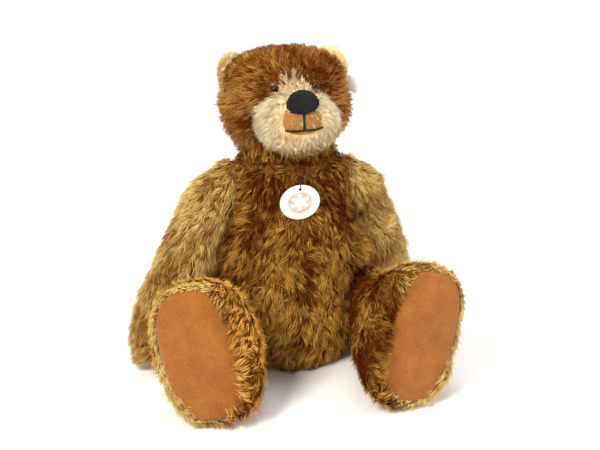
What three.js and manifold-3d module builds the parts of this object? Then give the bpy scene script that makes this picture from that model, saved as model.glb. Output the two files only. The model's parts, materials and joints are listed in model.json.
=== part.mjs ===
// A jointed mohair teddy bear, sitting with its legs out in front and its arms hanging at its sides.
// Millimetres, +Z up. The bear faces -Y and its own left is +X. The finished group stands on Z = 0,
// centred on the Z axis. Each plush piece is one solid of cover and filling, with its pile counted in.
import * as THREE from "three";
import { mergeVertices } from "three/addons/utils/BufferGeometryUtils.js";
import Module from "manifold-3d";

const wasm = await Module();
wasm.setup();

// Driving dimensions of the plush
const TORSO_HEIGHT = 187; // seat to neck joint
const BELLY_WIDTH = 128;
const HEAD_HEIGHT = 84; // neck joint to crown
const HEAD_WIDTH = 107;
const MUZZLE_REACH = 80; // neck axis to the tip of the muzzle
const MUZZLE_WIDTH = 74;
const MUZZLE_HEIGHT = 54;
const ARM_LENGTH = 186; // shoulder cap to paw tip
const ARM_THICKNESS = 47;
const LEG_LENGTH = 133; // hip joint to sole
const LEG_THICKNESS = 62;
const SOLE_LENGTH = 136;
const SOLE_WIDTH = 88;

// Pose, in degrees
const BACK_LEAN = 9; // neck axis back from upright
const HEAD_TURN = 2; // towards the bear's left
const LEG_SPLAY = { left: 7, right: 11 }; // each leg out from straight ahead
const SHOULDER_TILT = { left: 1, right: 9 }; // each shoulder axis up from level
const ARM_SWING = { left: -25, right: 16 }; // each arm forward from hanging
const TOE_OUT = 13; // each foot turned out about its leg
const SOLE_LEAN = 6; // toes back from the heel
const TAG_TILT = -4; // tag's face up from level

// Joint places: shoulder and hip discs stand this far from the middle of the bear
const SHOULDER = { out: 42, back: 20, up: 151 };
const HIP = { out: 40, back: 2, up: 44 };
const NECK_BACK = 24; // behind the middle of the seat
const LEG_SEAT = { radius: 43, rise: 10 }; // rise, in degrees, is room to lift the leg

// Disc joints: hardboard discs, steel washers and a split pin through two cloth walls
const DISC_RADIUS = { neck: 26, shoulder: 14, hip: 19 };
const DISC_THICKNESS = 3;
const WASHER_RADIUS = 9;
const WASHER_THICKNESS = 1;
const WALL = 2.4; // cloth and seam between a disc and the joint face
const WIRE_RADIUS = 0.8;
const WIRE_PITCH = 1.15; // each leg of the pin from its axis
const EYE_RADIUS = 2.6; // loop at the head of the pin
const CURL_RADIUS = 3.3; // each leg of the pin, curled back to its washer
const PIN_HOLE_RADIUS = 2.3;

// Trim
const PAD_THICKNESS = 2;
const FOOT_PAD = { wide: 54, long: 118, out: 9 }; // set nearer the outer edge of the sole
const PAW_PAD = { wide: 26, long: 42 };
const GLASS_EYE_RADIUS = 4.2;
const NOSE_WIDTH = 27;
const NOSE_HEIGHT = 21;
const MOUTH_WIDTH = 29;
const THREAD_RADIUS = 0.8;
const TAG_RADIUS = 17;
const TAG_THICKNESS = 0.8;
const TAG_HOLE_RADIUS = 1.4;
const TAG_STAND_OFF = 9; // tag's middle in front of the chest
const LOOP_RADIUS = 5.5; // of the thread it hangs from
const TAG_UP = 161; // tag's middle above the seat
const LABEL = { out: 13, tall: 12, thick: 0.8 };

const GAP = 0.35; // between pieces that touch
const FAR = 400; // larger than the bear, for cutting planes

const PLUSH_SIDES = 20;
const PLUSH_RINGS = 14;
const DISC_SIDES = 12;
const WIRE_SIDES = 5;

const rad = THREE.MathUtils.degToRad;
const vec = (x, y, z) => new THREE.Vector3(x, y, z);
const SIDES = { left: 1, right: -1 };

const finish = (color, roughness, metalness = 0) =>
  new THREE.MeshStandardMaterial({ color, roughness, metalness });
const brownMohair = finish("#8a5a26", 1);
const goldenMohair = finish("#a87c42", 1);
const creamMohair = finish("#dcc08c", 1);
const tanFelt = finish("#b3702f", 0.95);
const blackThread = finish("#26292b", 0.7);
const eyeGlass = finish("#1a0f08", 0.08);
const whiteCard = finish("#f4f0e8", 0.8);
const hardboard = finish("#7d5a39", 0.9);
const steel = finish("#a9abad", 0.4, 1);

// Geometry as a solid for joining and cutting, and back

function solidOf(geometry) {
  const bare = new THREE.BufferGeometry();
  bare.setAttribute("position", geometry.getAttribute("position"));
  bare.setIndex(geometry.index);
  const merged = mergeVertices(bare, 1e-4);
  const corners = merged.index.array;
  const triVerts = [];
  for (let i = 0; i < corners.length; i += 3) {
    const [a, b, c] = corners.slice(i, i + 3);
    if (a !== b && b !== c && c !== a) triVerts.push(a, b, c);
  }
  return new wasm.Manifold(
    new wasm.Mesh({
      numProp: 3,
      vertProperties: merged.getAttribute("position").array,
      triVerts: new Uint32Array(triVerts),
    }),
  );
}

function geometryOf(solid) {
  const { vertProperties, triVerts } = solid.getMesh();
  const geometry = new THREE.BufferGeometry();
  geometry.setAttribute("position", new THREE.BufferAttribute(new Float32Array(vertProperties), 3));
  geometry.setIndex(new THREE.BufferAttribute(new Uint32Array(triVerts), 1));
  geometry.computeVertexNormals();
  return geometry;
}

function cut(solid, ...cutters) {
  return cutters.reduce((left, cutter) => left.subtract(cutter), solid);
}

function named(name, solid, material) {
  const mesh = new THREE.Mesh(geometryOf(solid), material);
  mesh.name = name;
  return mesh;
}

// Forms

const bent = (value, power) => Math.sign(value) * Math.abs(value) ** power;

// A stuffed form: a sphere drawn out along a spine. Each station is the spine's x, y, z, the half width
// along `side`, the half depth across it, and a turn about the spine. `blunt` and `square` are 2 for
// round ends and round sections, and more for fuller ones. `grow` is a margin added all round.
function stuffed(stations, { side, blunt = 2.4, square = 2, grow = 0, sides, rings }) {
  const spine = new THREE.CatmullRomCurve3(stations.map(([x, y, z]) => vec(x, y, z)));
  const girth = new THREE.CatmullRomCurve3(
    stations.map(([, , , wide, deep, turn = 0]) => vec(wide + grow, deep + grow, rad(turn))),
  );
  const geometry = new THREE.SphereGeometry(1, sides ?? PLUSH_SIDES, rings ?? PLUSH_RINGS);
  const place = geometry.getAttribute("position");
  for (let i = 0; i < place.count; i++) {
    const ring = Math.hypot(place.getX(i), place.getZ(i));
    const reach = ring ** (2 / blunt);
    const along = bent(place.getY(i), 2 / blunt);
    const share = (along + 1) / 2;
    const tangent = spine.getTangent(share);
    const size = girth.getPoint(share);
    const across = side.clone().projectOnPlane(tangent).normalize().applyAxisAngle(tangent, size.z);
    const up = across.clone().cross(tangent);
    const cos = ring ? bent(place.getX(i) / ring, 2 / square) : 0;
    const sin = ring ? bent(place.getZ(i) / ring, 2 / square) : 0;
    const point = spine
      .getPoint(share)
      .addScaledVector(tangent, grow * along)
      .addScaledVector(across, size.x * reach * cos)
      .addScaledVector(up, size.y * reach * sin);
    place.setXYZ(i, point.x, point.y, point.z);
  }
  return geometry;
}

// A solid of revolution about Y from [radius, height] pairs
function revolved(profile, sides) {
  return new THREE.LatheGeometry(
    profile.map(([radius, height]) => new THREE.Vector2(radius, height)),
    sides,
  );
}

function ring(inner, outer, low, high, sides) {
  return revolved([[inner, low], [outer, low], [outer, high], [inner, high], [inner, low]], sides);
}

// Everything beyond a plane, on the side that `normal` points to
function beyond(point, normal) {
  const block = new THREE.BoxGeometry(FAR, FAR, FAR).translate(0, 0, FAR / 2);
  const turn = new THREE.Quaternion().setFromUnitVectors(vec(0, 0, 1), normal.clone().normalize());
  return solidOf(block.applyQuaternion(turn).translate(point.x, point.y, point.z));
}

// A rounded oblong outline in XY: an ellipse when `square` is 2
function oblong(halfWidth, halfHeight, square, points) {
  const outline = [];
  for (let i = 0; i < points; i++) {
    const angle = (2 * Math.PI * i) / points;
    const x = halfWidth * bent(Math.cos(angle), 2 / square);
    const y = halfHeight * bent(Math.sin(angle), 2 / square);
    outline.push(new THREE.Vector2(x, y));
  }
  return new THREE.Shape(outline);
}

function slab(shape, depth) {
  return new THREE.ExtrudeGeometry(shape, { depth, bevelEnabled: false, steps: 1 });
}

function wire(points, radius, steps) {
  return new THREE.ExtrudeGeometry(oblong(radius, radius, 2, WIRE_SIDES), {
    steps,
    bevelEnabled: false,
    extrudePath: new THREE.CatmullRomCurve3(points),
  });
}

// The point of a form that a line from `from` along `way` meets first, and the surface's normal there
function onto(geometry, from, way) {
  const probe = new THREE.Mesh(geometry, new THREE.MeshBasicMaterial({ side: THREE.DoubleSide }));
  const [hit] = new THREE.Raycaster(from, way.clone().normalize()).intersectObject(probe);
  return { point: hit.point, normal: hit.face.normal.clone() };
}

// Disc joints, about Y, with the torso below Y = 0 and the limb above it

const DISC_FACE = WALL + GAP;
const WASHER_FACE = DISC_FACE + DISC_THICKNESS + GAP;
const PIN_FACE = WASHER_FACE + WASHER_THICKNESS + GAP;
const EYE_MIDDLE = PIN_FACE + WIRE_RADIUS + Math.sqrt(EYE_RADIUS ** 2 - WIRE_PITCH ** 2);
const CURL_MIDDLE = PIN_FACE + WIRE_RADIUS;
const POCKET_DEPTH = EYE_MIDDLE + EYE_RADIUS + WIRE_RADIUS + GAP;

// The room that a disc, its washer and the end of the pin need behind a joint face, with the pin's hole
function pocket(discRadius, upwards) {
  const profile = [
    [0, -GAP],
    [PIN_HOLE_RADIUS, -GAP],
    [PIN_HOLE_RADIUS, WALL],
    [discRadius + GAP, WALL],
    [discRadius + GAP, WASHER_FACE],
    [WASHER_RADIUS + GAP, WASHER_FACE],
    [WASHER_RADIUS + GAP, POCKET_DEPTH],
    [0, POCKET_DEPTH],
  ];
  const room = revolved(profile, DISC_SIDES);
  return upwards ? room : room.rotateX(Math.PI);
}

// One wire, bent double into an eye, with its two legs curled outwards onto the far washer
function splitPin() {
  const half = [];
  const bends = 5;
  for (let i = 0; i <= bends; i++) {
    const angle = (Math.PI * i) / bends;
    const out = WIRE_PITCH + CURL_RADIUS * (1 + Math.cos(angle));
    half.push(vec(out, -CURL_MIDDLE - CURL_RADIUS * Math.sin(angle), 0));
  }
  for (const share of [0.15, 0.5, 0.85]) {
    half.push(vec(WIRE_PITCH, THREE.MathUtils.lerp(-CURL_MIDDLE, PIN_FACE + WIRE_RADIUS, share), 0));
  }
  const opening = Math.asin(WIRE_PITCH / EYE_RADIUS);
  for (let i = 0; i < bends; i++) {
    const angle = opening + ((Math.PI - opening) * i) / bends;
    half.push(vec(EYE_RADIUS * Math.sin(angle), EYE_MIDDLE - EYE_RADIUS * Math.cos(angle), 0));
  }
  const otherHalf = half.map(({ x, y }) => vec(-x, y, 0)).reverse();
  return wire([...half, vec(0, EYE_MIDDLE + EYE_RADIUS, 0), ...otherHalf], WIRE_RADIUS, 30);
}

// The meshes of one joint, about Y: the torso's half, and the limb's half with the pin
function discJoint(name, discRadius) {
  const disc = solidOf(ring(PIN_HOLE_RADIUS, discRadius, DISC_FACE, DISC_FACE + DISC_THICKNESS, DISC_SIDES));
  const washer = solidOf(
    ring(PIN_HOLE_RADIUS, WASHER_RADIUS, WASHER_FACE, WASHER_FACE + WASHER_THICKNESS, DISC_SIDES),
  );
  const bodyPieces = [
    named(`${name}_body_disc`, disc, hardboard),
    named(`${name}_body_washer`, washer, steel),
  ];
  for (const piece of bodyPieces) piece.rotation.x = Math.PI;
  const limbPieces = [
    named(`${name}_limb_disc`, disc, hardboard),
    named(`${name}_limb_washer`, washer, steel),
    named(`${name}_split_pin`, solidOf(splitPin()), steel),
  ];
  return { bodyPieces, limbPieces };
}

// Joint frames: X is the axis of a shoulder or hip and Z that of the neck. Each holds a limb, turned about
// that axis to the limb's pose, and two axle groups whose Y runs out along it from the torso.

const bear = new THREE.Group();

function jointFrame(name, discRadius, place, lie, pose, axleTurn) {
  const frame = new THREE.Group();
  frame.position.copy(place);
  frame.rotation.copy(lie);
  const limb = new THREE.Group();
  limb.rotation.copy(pose);
  const bodyAxle = new THREE.Group();
  const limbAxle = new THREE.Group();
  bodyAxle.rotation.copy(axleTurn);
  limbAxle.rotation.copy(axleTurn);
  const { bodyPieces, limbPieces } = discJoint(name, discRadius);
  bodyAxle.add(...bodyPieces);
  limbAxle.add(...limbPieces);
  limb.add(limbAxle);
  frame.add(bodyAxle, limb);
  bear.add(frame);
  frame.updateMatrixWorld(true);
  return { limb, axle: bodyAxle };
}

const turn = (x, y, z) => new THREE.Euler(rad(x), rad(y), rad(z));
const neck = jointFrame(
  "neck",
  DISC_RADIUS.neck,
  vec(0, NECK_BACK, TORSO_HEIGHT),
  turn(-BACK_LEAN, 0, 0),
  turn(0, 0, HEAD_TURN),
  turn(90, 0, 0),
);
const shoulders = {};
const hips = {};
for (const [name, out] of Object.entries(SIDES)) {
  shoulders[name] = jointFrame(
    `${name}_shoulder`,
    DISC_RADIUS.shoulder,
    vec(out * SHOULDER.out, SHOULDER.back, SHOULDER.up),
    turn(0, -out * SHOULDER_TILT[name], 0),
    turn(-ARM_SWING[name], 0, 0),
    turn(0, 0, -out * 90),
  );
  hips[name] = jointFrame(
    `${name}_hip`,
    DISC_RADIUS.hip,
    vec(out * HIP.out, HIP.back, HIP.up),
    turn(0, 0, out * LEG_SPLAY[name]),
    turn(0, 0, 0),
    turn(0, 0, -out * 90),
  );
}

// Torso: a pear with a flat seat, a flat neck, and a round seat for each limb at its sides
const belly = BELLY_WIDTH / 2;
function torsoForm(grow = 0) {
  return stuffed(
    [
      [0, 0, -0.1 * TORSO_HEIGHT, 0.88 * belly, 0.95 * belly],
      [0, 0, 0.16 * TORSO_HEIGHT, 0.98 * belly, 1.0 * belly],
      [0, 0, 0.42 * TORSO_HEIGHT, 1.0 * belly, 1.0 * belly],
      [0, 9, 0.68 * TORSO_HEIGHT, 0.93 * belly, 0.86 * belly],
      [0, NECK_BACK - 6, 0.9 * TORSO_HEIGHT, 0.8 * belly, 0.73 * belly],
      [0, NECK_BACK + 2, 1.12 * TORSO_HEIGHT, 0.6 * belly, 0.6 * belly],
    ],
    { side: vec(1, 0, 0), blunt: 4, grow },
  );
}

function seatedAt(geometry, axle) {
  return solidOf(geometry.clone().applyMatrix4(axle.matrixWorld));
}

// A shallow dish in the torso's side, for the arm to turn over
function armSeat() {
  const profile = [[0, -GAP / 2], [25, -GAP / 2], [44, 7], [84, 26], [124, 44], [150, 52], [0, 52]];
  return revolved(profile, PLUSH_SIDES);
}

// A flat in the torso's side, round behind the hip and open ahead of it and below, for the leg to turn in
function legSeat(out) {
  const { radius, rise } = LEG_SEAT;
  const outline = [];
  for (let angle = 90; angle <= 180; angle += 22.5) {
    outline.push([radius * Math.cos(rad(angle)), radius * Math.sin(rad(angle))]);
  }
  outline.push([-radius, -FAR], [FAR, -FAR], [FAR, radius + FAR * Math.tan(rad(rise))]);
  const shape = new THREE.Shape(outline.map(([ahead, up]) => new THREE.Vector2(-out * ahead, up)));
  return slab(shape, FAR).translate(0, 0, -GAP / 2).rotateX(Math.PI / 2).rotateZ(Math.PI);
}

const torsoCuts = [
  beyond(vec(0, 0, 0), vec(0, 0, -1)),
  seatedAt(revolved([[0, -GAP / 2], [FAR, -GAP / 2], [FAR, FAR], [0, FAR]], DISC_SIDES), neck.axle),
  seatedAt(pocket(DISC_RADIUS.neck, false), neck.axle),
];
for (const [name, out] of Object.entries(SIDES)) {
  torsoCuts.push(
    seatedAt(armSeat(), shoulders[name].axle),
    seatedAt(legSeat(out), hips[name].axle),
    seatedAt(pocket(DISC_RADIUS.shoulder, false), shoulders[name].axle),
    seatedAt(pocket(DISC_RADIUS.hip, false), hips[name].axle),
  );
}
bear.add(named("torso", cut(solidOf(torsoForm()), ...torsoCuts), brownMohair));

// Limb solids are cut flat at the joint face, as far out as `reach`, and hold the limb's half of the joint
function limbCuts(out, discRadius, reach) {
  const flat = revolved([[0, -FAR], [reach, -FAR], [reach, GAP / 2], [0, GAP / 2]], PLUSH_SIDES);
  return [flat, pocket(discRadius, true)].map((room) => solidOf(room.rotateZ(-out * (Math.PI / 2))));
}

// Arm: a long sausage that leans out from the shoulder and hangs straight below the elbow
const PAW_SHARE = 0.86;
const armDown = (share) => 23 - share * ARM_LENGTH;
function armForm(out, grow = 0) {
  const thick = ARM_THICKNESS / 2;
  return stuffed(
    [
      [out * 0.4 * thick, 0, armDown(0), 0.84 * thick, 1.0 * thick],
      [out * 0.9 * thick, 0, armDown(0.16), 1.08 * thick, 1.2 * thick],
      [out * 1.6 * thick, 0, armDown(0.4), 1.02 * thick, 1.14 * thick],
      [out * 2.46 * thick, 0, armDown(0.64), 0.86 * thick, 1.04 * thick],
      [out * 2.92 * thick, -2, armDown(0.84), 0.82 * thick, 1.0 * thick],
      [out * 3.02 * thick, -4, armDown(1), 0.78 * thick, 0.92 * thick],
    ],
    { side: vec(1, 0, 0), blunt: 3, grow, sides: 20 },
  );
}

// Paw pad: a felt oval laid on the inner face of the paw
function pawPad(out) {
  const oval = slab(oblong(PAW_PAD.wide / 2, PAW_PAD.long / 2, 2, 20), ARM_THICKNESS)
    .rotateX(Math.PI / 2)
    .rotateZ(-out * (Math.PI / 2))
    .translate(out * 2.92 * (ARM_THICKNESS / 2), -3, armDown(PAW_SHARE));
  const shell = cut(solidOf(armForm(out, PAD_THICKNESS)), solidOf(armForm(out, GAP)));
  return shell.intersect(solidOf(oval));
}

// Leg: a thick thigh that runs forward and swells into an upright foot
const BELLY_CLEARANCE = 86; // from the hip's axis; past it the foot may stand inside the joint face
const SOLE = { out: 0.3 * SOLE_WIDTH, up: 22 };
function legForm(out) {
  const thick = LEG_THICKNESS / 2;
  const forward = (share) => -share * LEG_LENGTH;
  const turned = -out * TOE_OUT;
  const beyondSole = 0.35;
  return stuffed(
    [
      [out * 0.5 * thick, 36, -3, 0.54 * thick, 0.82 * thick],
      [out * 0.58 * thick, 14, -3, 0.68 * thick, 1.0 * thick],
      [out * 0.68 * thick, forward(0.2), -3, 0.8 * thick, 1.08 * thick],
      [out * 0.86 * thick, forward(0.45), 0, 1.02 * thick, 1.34 * thick, 0.4 * turned],
      [out * 0.84 * thick, forward(0.76), 12, 0.46 * SOLE_WIDTH, 0.43 * SOLE_LENGTH, 0.8 * turned],
      [out * SOLE.out, forward(1), SOLE.up, SOLE_WIDTH / 2, SOLE_LENGTH / 2, turned],
      [out * SOLE.out, forward(1 + beyondSole), SOLE.up, SOLE_WIDTH / 2, SOLE_LENGTH / 2, turned],
    ],
    { side: vec(1, 0, 0), blunt: 6, square: 2.6 },
  );
}

for (const [name, out] of Object.entries(SIDES)) {
  const arm = cut(solidOf(armForm(out)), ...limbCuts(out, DISC_RADIUS.shoulder, FAR));
  shoulders[name].limb.add(
    named(`${name}_arm`, arm, goldenMohair),
    named(`${name}_paw_pad`, pawPad(out), tanFelt),
  );

  // Foot pad: a felt oblong set in the sole, inside a rim of plush
  const sole = new THREE.Group();
  sole.position.set(out * SOLE.out, -LEG_LENGTH, SOLE.up);
  sole.rotation.order = "YXZ";
  sole.rotation.set(rad(90 - SOLE_LEAN), out * rad(TOE_OUT), 0);
  sole.updateMatrix();
  const padShape = (margin) => oblong(FOOT_PAD.wide / 2 + margin, FOOT_PAD.long / 2 + margin, 2.4, 28);
  const recess = slab(padShape(GAP), FAR)
    .translate(out * FOOT_PAD.out, 0, -PAD_THICKNESS)
    .applyMatrix4(sole.matrix);
  const leg = cut(
    solidOf(legForm(out)),
    ...limbCuts(out, DISC_RADIUS.hip, BELLY_CLEARANCE),
    beyond(sole.position, vec(0, 0, 1).transformDirection(sole.matrix)),
    solidOf(recess),
    beyond(vec(0, 0, -HIP.up), vec(0, 0, -1)),
  );
  const pad = slab(padShape(0), PAD_THICKNESS - GAP).translate(out * FOOT_PAD.out, 0, GAP - PAD_THICKNESS);
  sole.add(named(`${name}_foot_pad`, solidOf(pad), tanFelt));
  hips[name].limb.add(named(`${name}_leg`, leg, brownMohair), sole);
}

// Head: a full round-cornered ball on the neck, with the muzzle set low on its front
const cheek = HEAD_WIDTH / 2;
function headForm(grow = 0) {
  return stuffed(
    [
      [0, 2, -0.12 * HEAD_HEIGHT, 0.66 * cheek, 0.66 * cheek],
      [0, 0, 0.22 * HEAD_HEIGHT, 0.95 * cheek, 0.92 * cheek],
      [0, 0, 0.5 * HEAD_HEIGHT, 1.0 * cheek, 0.96 * cheek],
      [0, 2, 0.78 * HEAD_HEIGHT, 0.96 * cheek, 0.92 * cheek],
      [0, 4, HEAD_HEIGHT, 0.8 * cheek, 0.76 * cheek],
    ],
    { side: vec(1, 0, 0), blunt: 3, square: 2.3, grow },
  );
}
const headCuts = [
  beyond(vec(0, 0, GAP / 2), vec(0, 0, -1)),
  solidOf(pocket(DISC_RADIUS.neck, true).rotateX(Math.PI / 2)),
];
neck.limb.add(named("head", cut(solidOf(headForm()), ...headCuts), brownMohair));
const headRoom = solidOf(headForm(GAP));

const MUZZLE_UP = 0.36 * HEAD_HEIGHT;
function muzzleForm(grow = 0) {
  const wide = MUZZLE_WIDTH / 2;
  const tall = MUZZLE_HEIGHT / 2;
  return stuffed(
    [
      [0, -0.25 * MUZZLE_REACH, MUZZLE_UP, wide, tall],
      [0, -0.6 * MUZZLE_REACH, MUZZLE_UP, wide, tall],
      [0, -0.85 * MUZZLE_REACH, MUZZLE_UP - 1, 0.86 * wide, 0.9 * tall],
      [0, -MUZZLE_REACH, MUZZLE_UP - 2, 0.66 * wide, 0.74 * tall],
    ],
    { side: vec(1, 0, 0), blunt: 2.4, grow },
  );
}
neck.limb.add(named("muzzle", cut(solidOf(muzzleForm()), headRoom), creamMohair));
const muzzleRoom = solidOf(muzzleForm(GAP));

const ahead = vec(0, 1, 0);
const NOSE_UP = MUZZLE_UP + 0.35 * MUZZLE_HEIGHT;
const MOUTH_UP = MUZZLE_UP - 0.03 * MUZZLE_HEIGHT;
const noseSeat = onto(muzzleForm(), vec(0, -FAR, NOSE_UP), ahead).point;
const noseForm = stuffed(
  [
    [0, noseSeat.y + 6, noseSeat.z, NOSE_WIDTH / 2, NOSE_HEIGHT / 2],
    [0, noseSeat.y - 1, noseSeat.z, NOSE_WIDTH / 2, NOSE_HEIGHT / 2],
    [0, noseSeat.y - 6, noseSeat.z, 0.4 * NOSE_WIDTH, 0.4 * NOSE_HEIGHT],
  ],
  { side: vec(1, 0, 0), blunt: 2.8, sides: 18, rings: 8 },
);
neck.limb.add(named("nose", cut(solidOf(noseForm), muzzleRoom), blackThread));

// Mouth: one thread down from the nose and one across, lying on the muzzle
function stitch(x, up) {
  const { point, normal } = onto(muzzleForm(), vec(x, -FAR, up), ahead);
  return point.addScaledVector(normal, THREAD_RADIUS + 2 * GAP);
}
const NOSE_FOOT = NOSE_UP - NOSE_HEIGHT / 2 - GAP;
const lip = [-1, -0.5, 0, 0.5, 1].map((x) => stitch((x * MOUTH_WIDTH) / 2, MOUTH_UP + Math.abs(x)));
const drop = [1, 0.5, 0].map((share) => stitch(0, MOUTH_UP + share * (NOSE_FOOT - MOUTH_UP)));
const mouth = solidOf(wire(lip, THREAD_RADIUS, 10)).add(solidOf(wire(drop, THREAD_RADIUS, 4)));
neck.limb.add(named("mouth_stitch", mouth, blackThread));

// Eyes, and ears dished at the front
const EYE_PLACE = { out: 17.5, up: MUZZLE_UP + 0.51 * MUZZLE_HEIGHT };
const EAR_PLACE = { out: 0.8 * cheek, back: 8, up: 0.7 * HEAD_HEIGHT };
const EAR_HALF = { wide: 17, thick: 7, tall: 21 };
const ears = {};
for (const [name, out] of Object.entries(SIDES)) {
  const seat = onto(headForm(), vec(out * EYE_PLACE.out, -FAR, EYE_PLACE.up), ahead).point;
  const ball = new THREE.SphereGeometry(GLASS_EYE_RADIUS, 12, 8).translate(seat.x, seat.y, seat.z);
  neck.limb.add(named(`${name}_eye`, cut(solidOf(ball), headRoom, muzzleRoom), eyeGlass));

  const ear = new THREE.Group();
  ear.position.set(out * EAR_PLACE.out, EAR_PLACE.back, EAR_PLACE.up);
  ear.rotation.set(0, out * rad(30), out * rad(-30));
  ear.updateMatrix();
  const earForm = (grow) =>
    new THREE.SphereGeometry(1, 16, 10)
      .scale(EAR_HALF.wide + grow, EAR_HALF.thick + grow, EAR_HALF.tall + grow)
      .applyMatrix4(ear.matrix);
  const dish = new THREE.SphereGeometry(1, 12, 8)
    .scale(0.72 * EAR_HALF.wide, 0.9 * EAR_HALF.thick, 0.74 * EAR_HALF.tall)
    .translate(0, -EAR_HALF.thick, 0)
    .applyMatrix4(ear.matrix);
  neck.limb.add(named(`${name}_ear`, cut(solidOf(earForm(0)), headRoom, solidOf(dish)), goldenMohair));
  ears[name] = { frame: ear, room: solidOf(earForm(GAP)) };
}

// Ear label: a plain cloth tab sewn into the outer seam of the bear's left ear
const tab = new THREE.BoxGeometry(2 * LABEL.out, LABEL.thick, LABEL.tall)
  .translate(EAR_HALF.wide, 0, 0)
  .applyMatrix4(ears.left.frame.matrix);
neck.limb.add(named("ear_label", cut(solidOf(tab), ears.left.room, headRoom), whiteCard));

// Chest tag: a round card that hangs from a loop of thread sewn through the chest
const chest = onto(torsoForm(), vec(0, -FAR, TAG_UP), ahead).point;
const tag = new THREE.Group();
tag.position.copy(chest).add(vec(0, -TAG_STAND_OFF, 0));
tag.rotation.x = rad(90 - TAG_TILT);
tag.updateMatrix();
const holeUp = TAG_RADIUS - 3 * TAG_HOLE_RADIUS;
const card = slab(oblong(TAG_RADIUS, TAG_RADIUS, 2, 24), TAG_THICKNESS);
const punch = slab(oblong(TAG_HOLE_RADIUS, TAG_HOLE_RADIUS, 2, 8), FAR).translate(0, holeUp, -FAR / 2);
tag.add(named("chest_tag", cut(solidOf(card), solidOf(punch)), whiteCard));
const holeAt = vec(0, holeUp, TAG_THICKNESS / 2).applyMatrix4(tag.matrix);
const loopFront = 2.5; // thread standing in front of the card
const loop = new THREE.TorusGeometry(LOOP_RADIUS, THREAD_RADIUS / 2, WIRE_SIDES, 20)
  .rotateY(Math.PI / 2)
  .translate(0, LOOP_RADIUS - loopFront, Math.sqrt(LOOP_RADIUS ** 2 - (LOOP_RADIUS - loopFront) ** 2))
  .translate(holeAt.x, holeAt.y, holeAt.z);
bear.add(tag, named("tag_thread", cut(solidOf(loop), solidOf(torsoForm(GAP))), blackThread));

// Stand the bear on the floor, centred
bear.updateMatrixWorld(true);
const middle = new THREE.Box3().setFromObject(bear, true).getCenter(new THREE.Vector3());
bear.position.set(-middle.x, -middle.y, 0);

export default bear;
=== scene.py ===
"""Looks of a sitting, jointed mohair bear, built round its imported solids.

Lengths are metres in the row frame: +Z up, the bear faces -Y and its own left is +X.
"""

import json
import logging
import math
from dataclasses import dataclass, field
from enum import Enum
from typing import Any, Callable, ClassVar

import bmesh
import bpy
import numpy as np
from mathutils import Matrix, Vector, noise
from mathutils.bvhtree import BVHTree
from mathutils.kdtree import KDTree


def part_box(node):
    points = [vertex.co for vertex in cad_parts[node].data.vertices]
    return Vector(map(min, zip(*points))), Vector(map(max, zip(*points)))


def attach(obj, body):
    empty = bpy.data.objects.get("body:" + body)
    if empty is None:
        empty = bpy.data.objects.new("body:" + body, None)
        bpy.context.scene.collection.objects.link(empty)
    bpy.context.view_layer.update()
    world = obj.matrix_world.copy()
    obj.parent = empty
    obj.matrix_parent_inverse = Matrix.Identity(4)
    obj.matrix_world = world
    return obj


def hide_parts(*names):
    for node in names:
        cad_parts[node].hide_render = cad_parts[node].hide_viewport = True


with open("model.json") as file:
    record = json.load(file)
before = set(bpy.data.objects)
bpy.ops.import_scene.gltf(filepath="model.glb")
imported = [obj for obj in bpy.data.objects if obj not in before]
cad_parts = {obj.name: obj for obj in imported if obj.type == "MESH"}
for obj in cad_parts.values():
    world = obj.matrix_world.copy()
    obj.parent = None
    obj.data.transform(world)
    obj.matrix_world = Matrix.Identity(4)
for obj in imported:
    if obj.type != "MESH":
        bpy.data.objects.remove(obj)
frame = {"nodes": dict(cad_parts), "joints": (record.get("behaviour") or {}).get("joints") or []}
NOISE_SEED = 21  # keeps the noise the same in every run
noise.seed_set(NOISE_SEED)

LOG = logging.getLogger("bear")
MM = 0.001
Array = np.ndarray
Colour = tuple[float, float, float]
Tones = tuple[Colour, Colour]
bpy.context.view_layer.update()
SIDES = ("left", "right")
INNER = {"left": -1, "right": 1}  # way along X from a limb to the body
MIDLINE = 9 * MM  # the body's middle along X
AHEAD = -0.2  # in front of the bear along Y


# ---------------------------------------------------------------- numbers


def srgb(*channels: float) -> Colour:
    """Makes a display colour linear. Args: channels: red, green, blue, 0 to 255. Returns: 0 to 1."""
    shares = [value / 255 for value in channels]
    return tuple(s / 12.92 if s <= 0.04045 else ((s + 0.055) / 1.055) ** 2.4 for s in shares)


def unit(vectors: Array) -> Array:
    """Scales each row to length one. Args: vectors: rows. Returns: the same directions."""
    return vectors / np.maximum(np.linalg.norm(vectors, axis=-1, keepdims=True), 1e-12)


def ease(low: float, high: float, values: Array) -> Array:
    """Rises smoothly from 0 at low to 1 at high.

    Args:
        low: Where the rise starts.
        high: Where it ends; below low for a fall.
        values: Where to read it.

    Returns:
        Shares from 0 to 1.
    """
    share = np.clip((values - low) / (high - low), 0, 1)
    return share * share * (3 - 2 * share)


def flow(points: Array, size: float, seed: float) -> Array:
    """Reads a smooth random vector field.

    Args:
        points: Rows of places.
        size: Distance over which the field changes.
        seed: Moves the field so that two reads differ.

    Returns:
        One vector a row, each part about -1 to 1.
    """
    shift = Vector((seed, 2.3 * seed, -1.7 * seed))
    return np.array([noise.noise_vector(Vector(p) / size + shift) for p in points]).reshape(-1, 3)


def spot(points: Array, centre: Array, radii: Any, soft: float) -> Array:
    """Marks the inside of a soft ellipsoid.

    Args:
        points: Rows of places.
        centre: Its middle.
        radii: Its three radii, or one for a ball.
        soft: Share of the radius over which it fades.

    Returns:
        1 inside, 0 outside.
    """
    away = np.linalg.norm((points - centre) / np.asarray(radii), axis=1)
    return ease(1 + soft, 1 - soft, away)


def middle(node: str) -> Array:
    """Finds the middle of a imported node's box. Args: node: its name. Returns: the middle."""
    low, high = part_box(node)
    return np.array((low + high) / 2)


# ---------------------------------------------------------------- shaders


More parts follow.
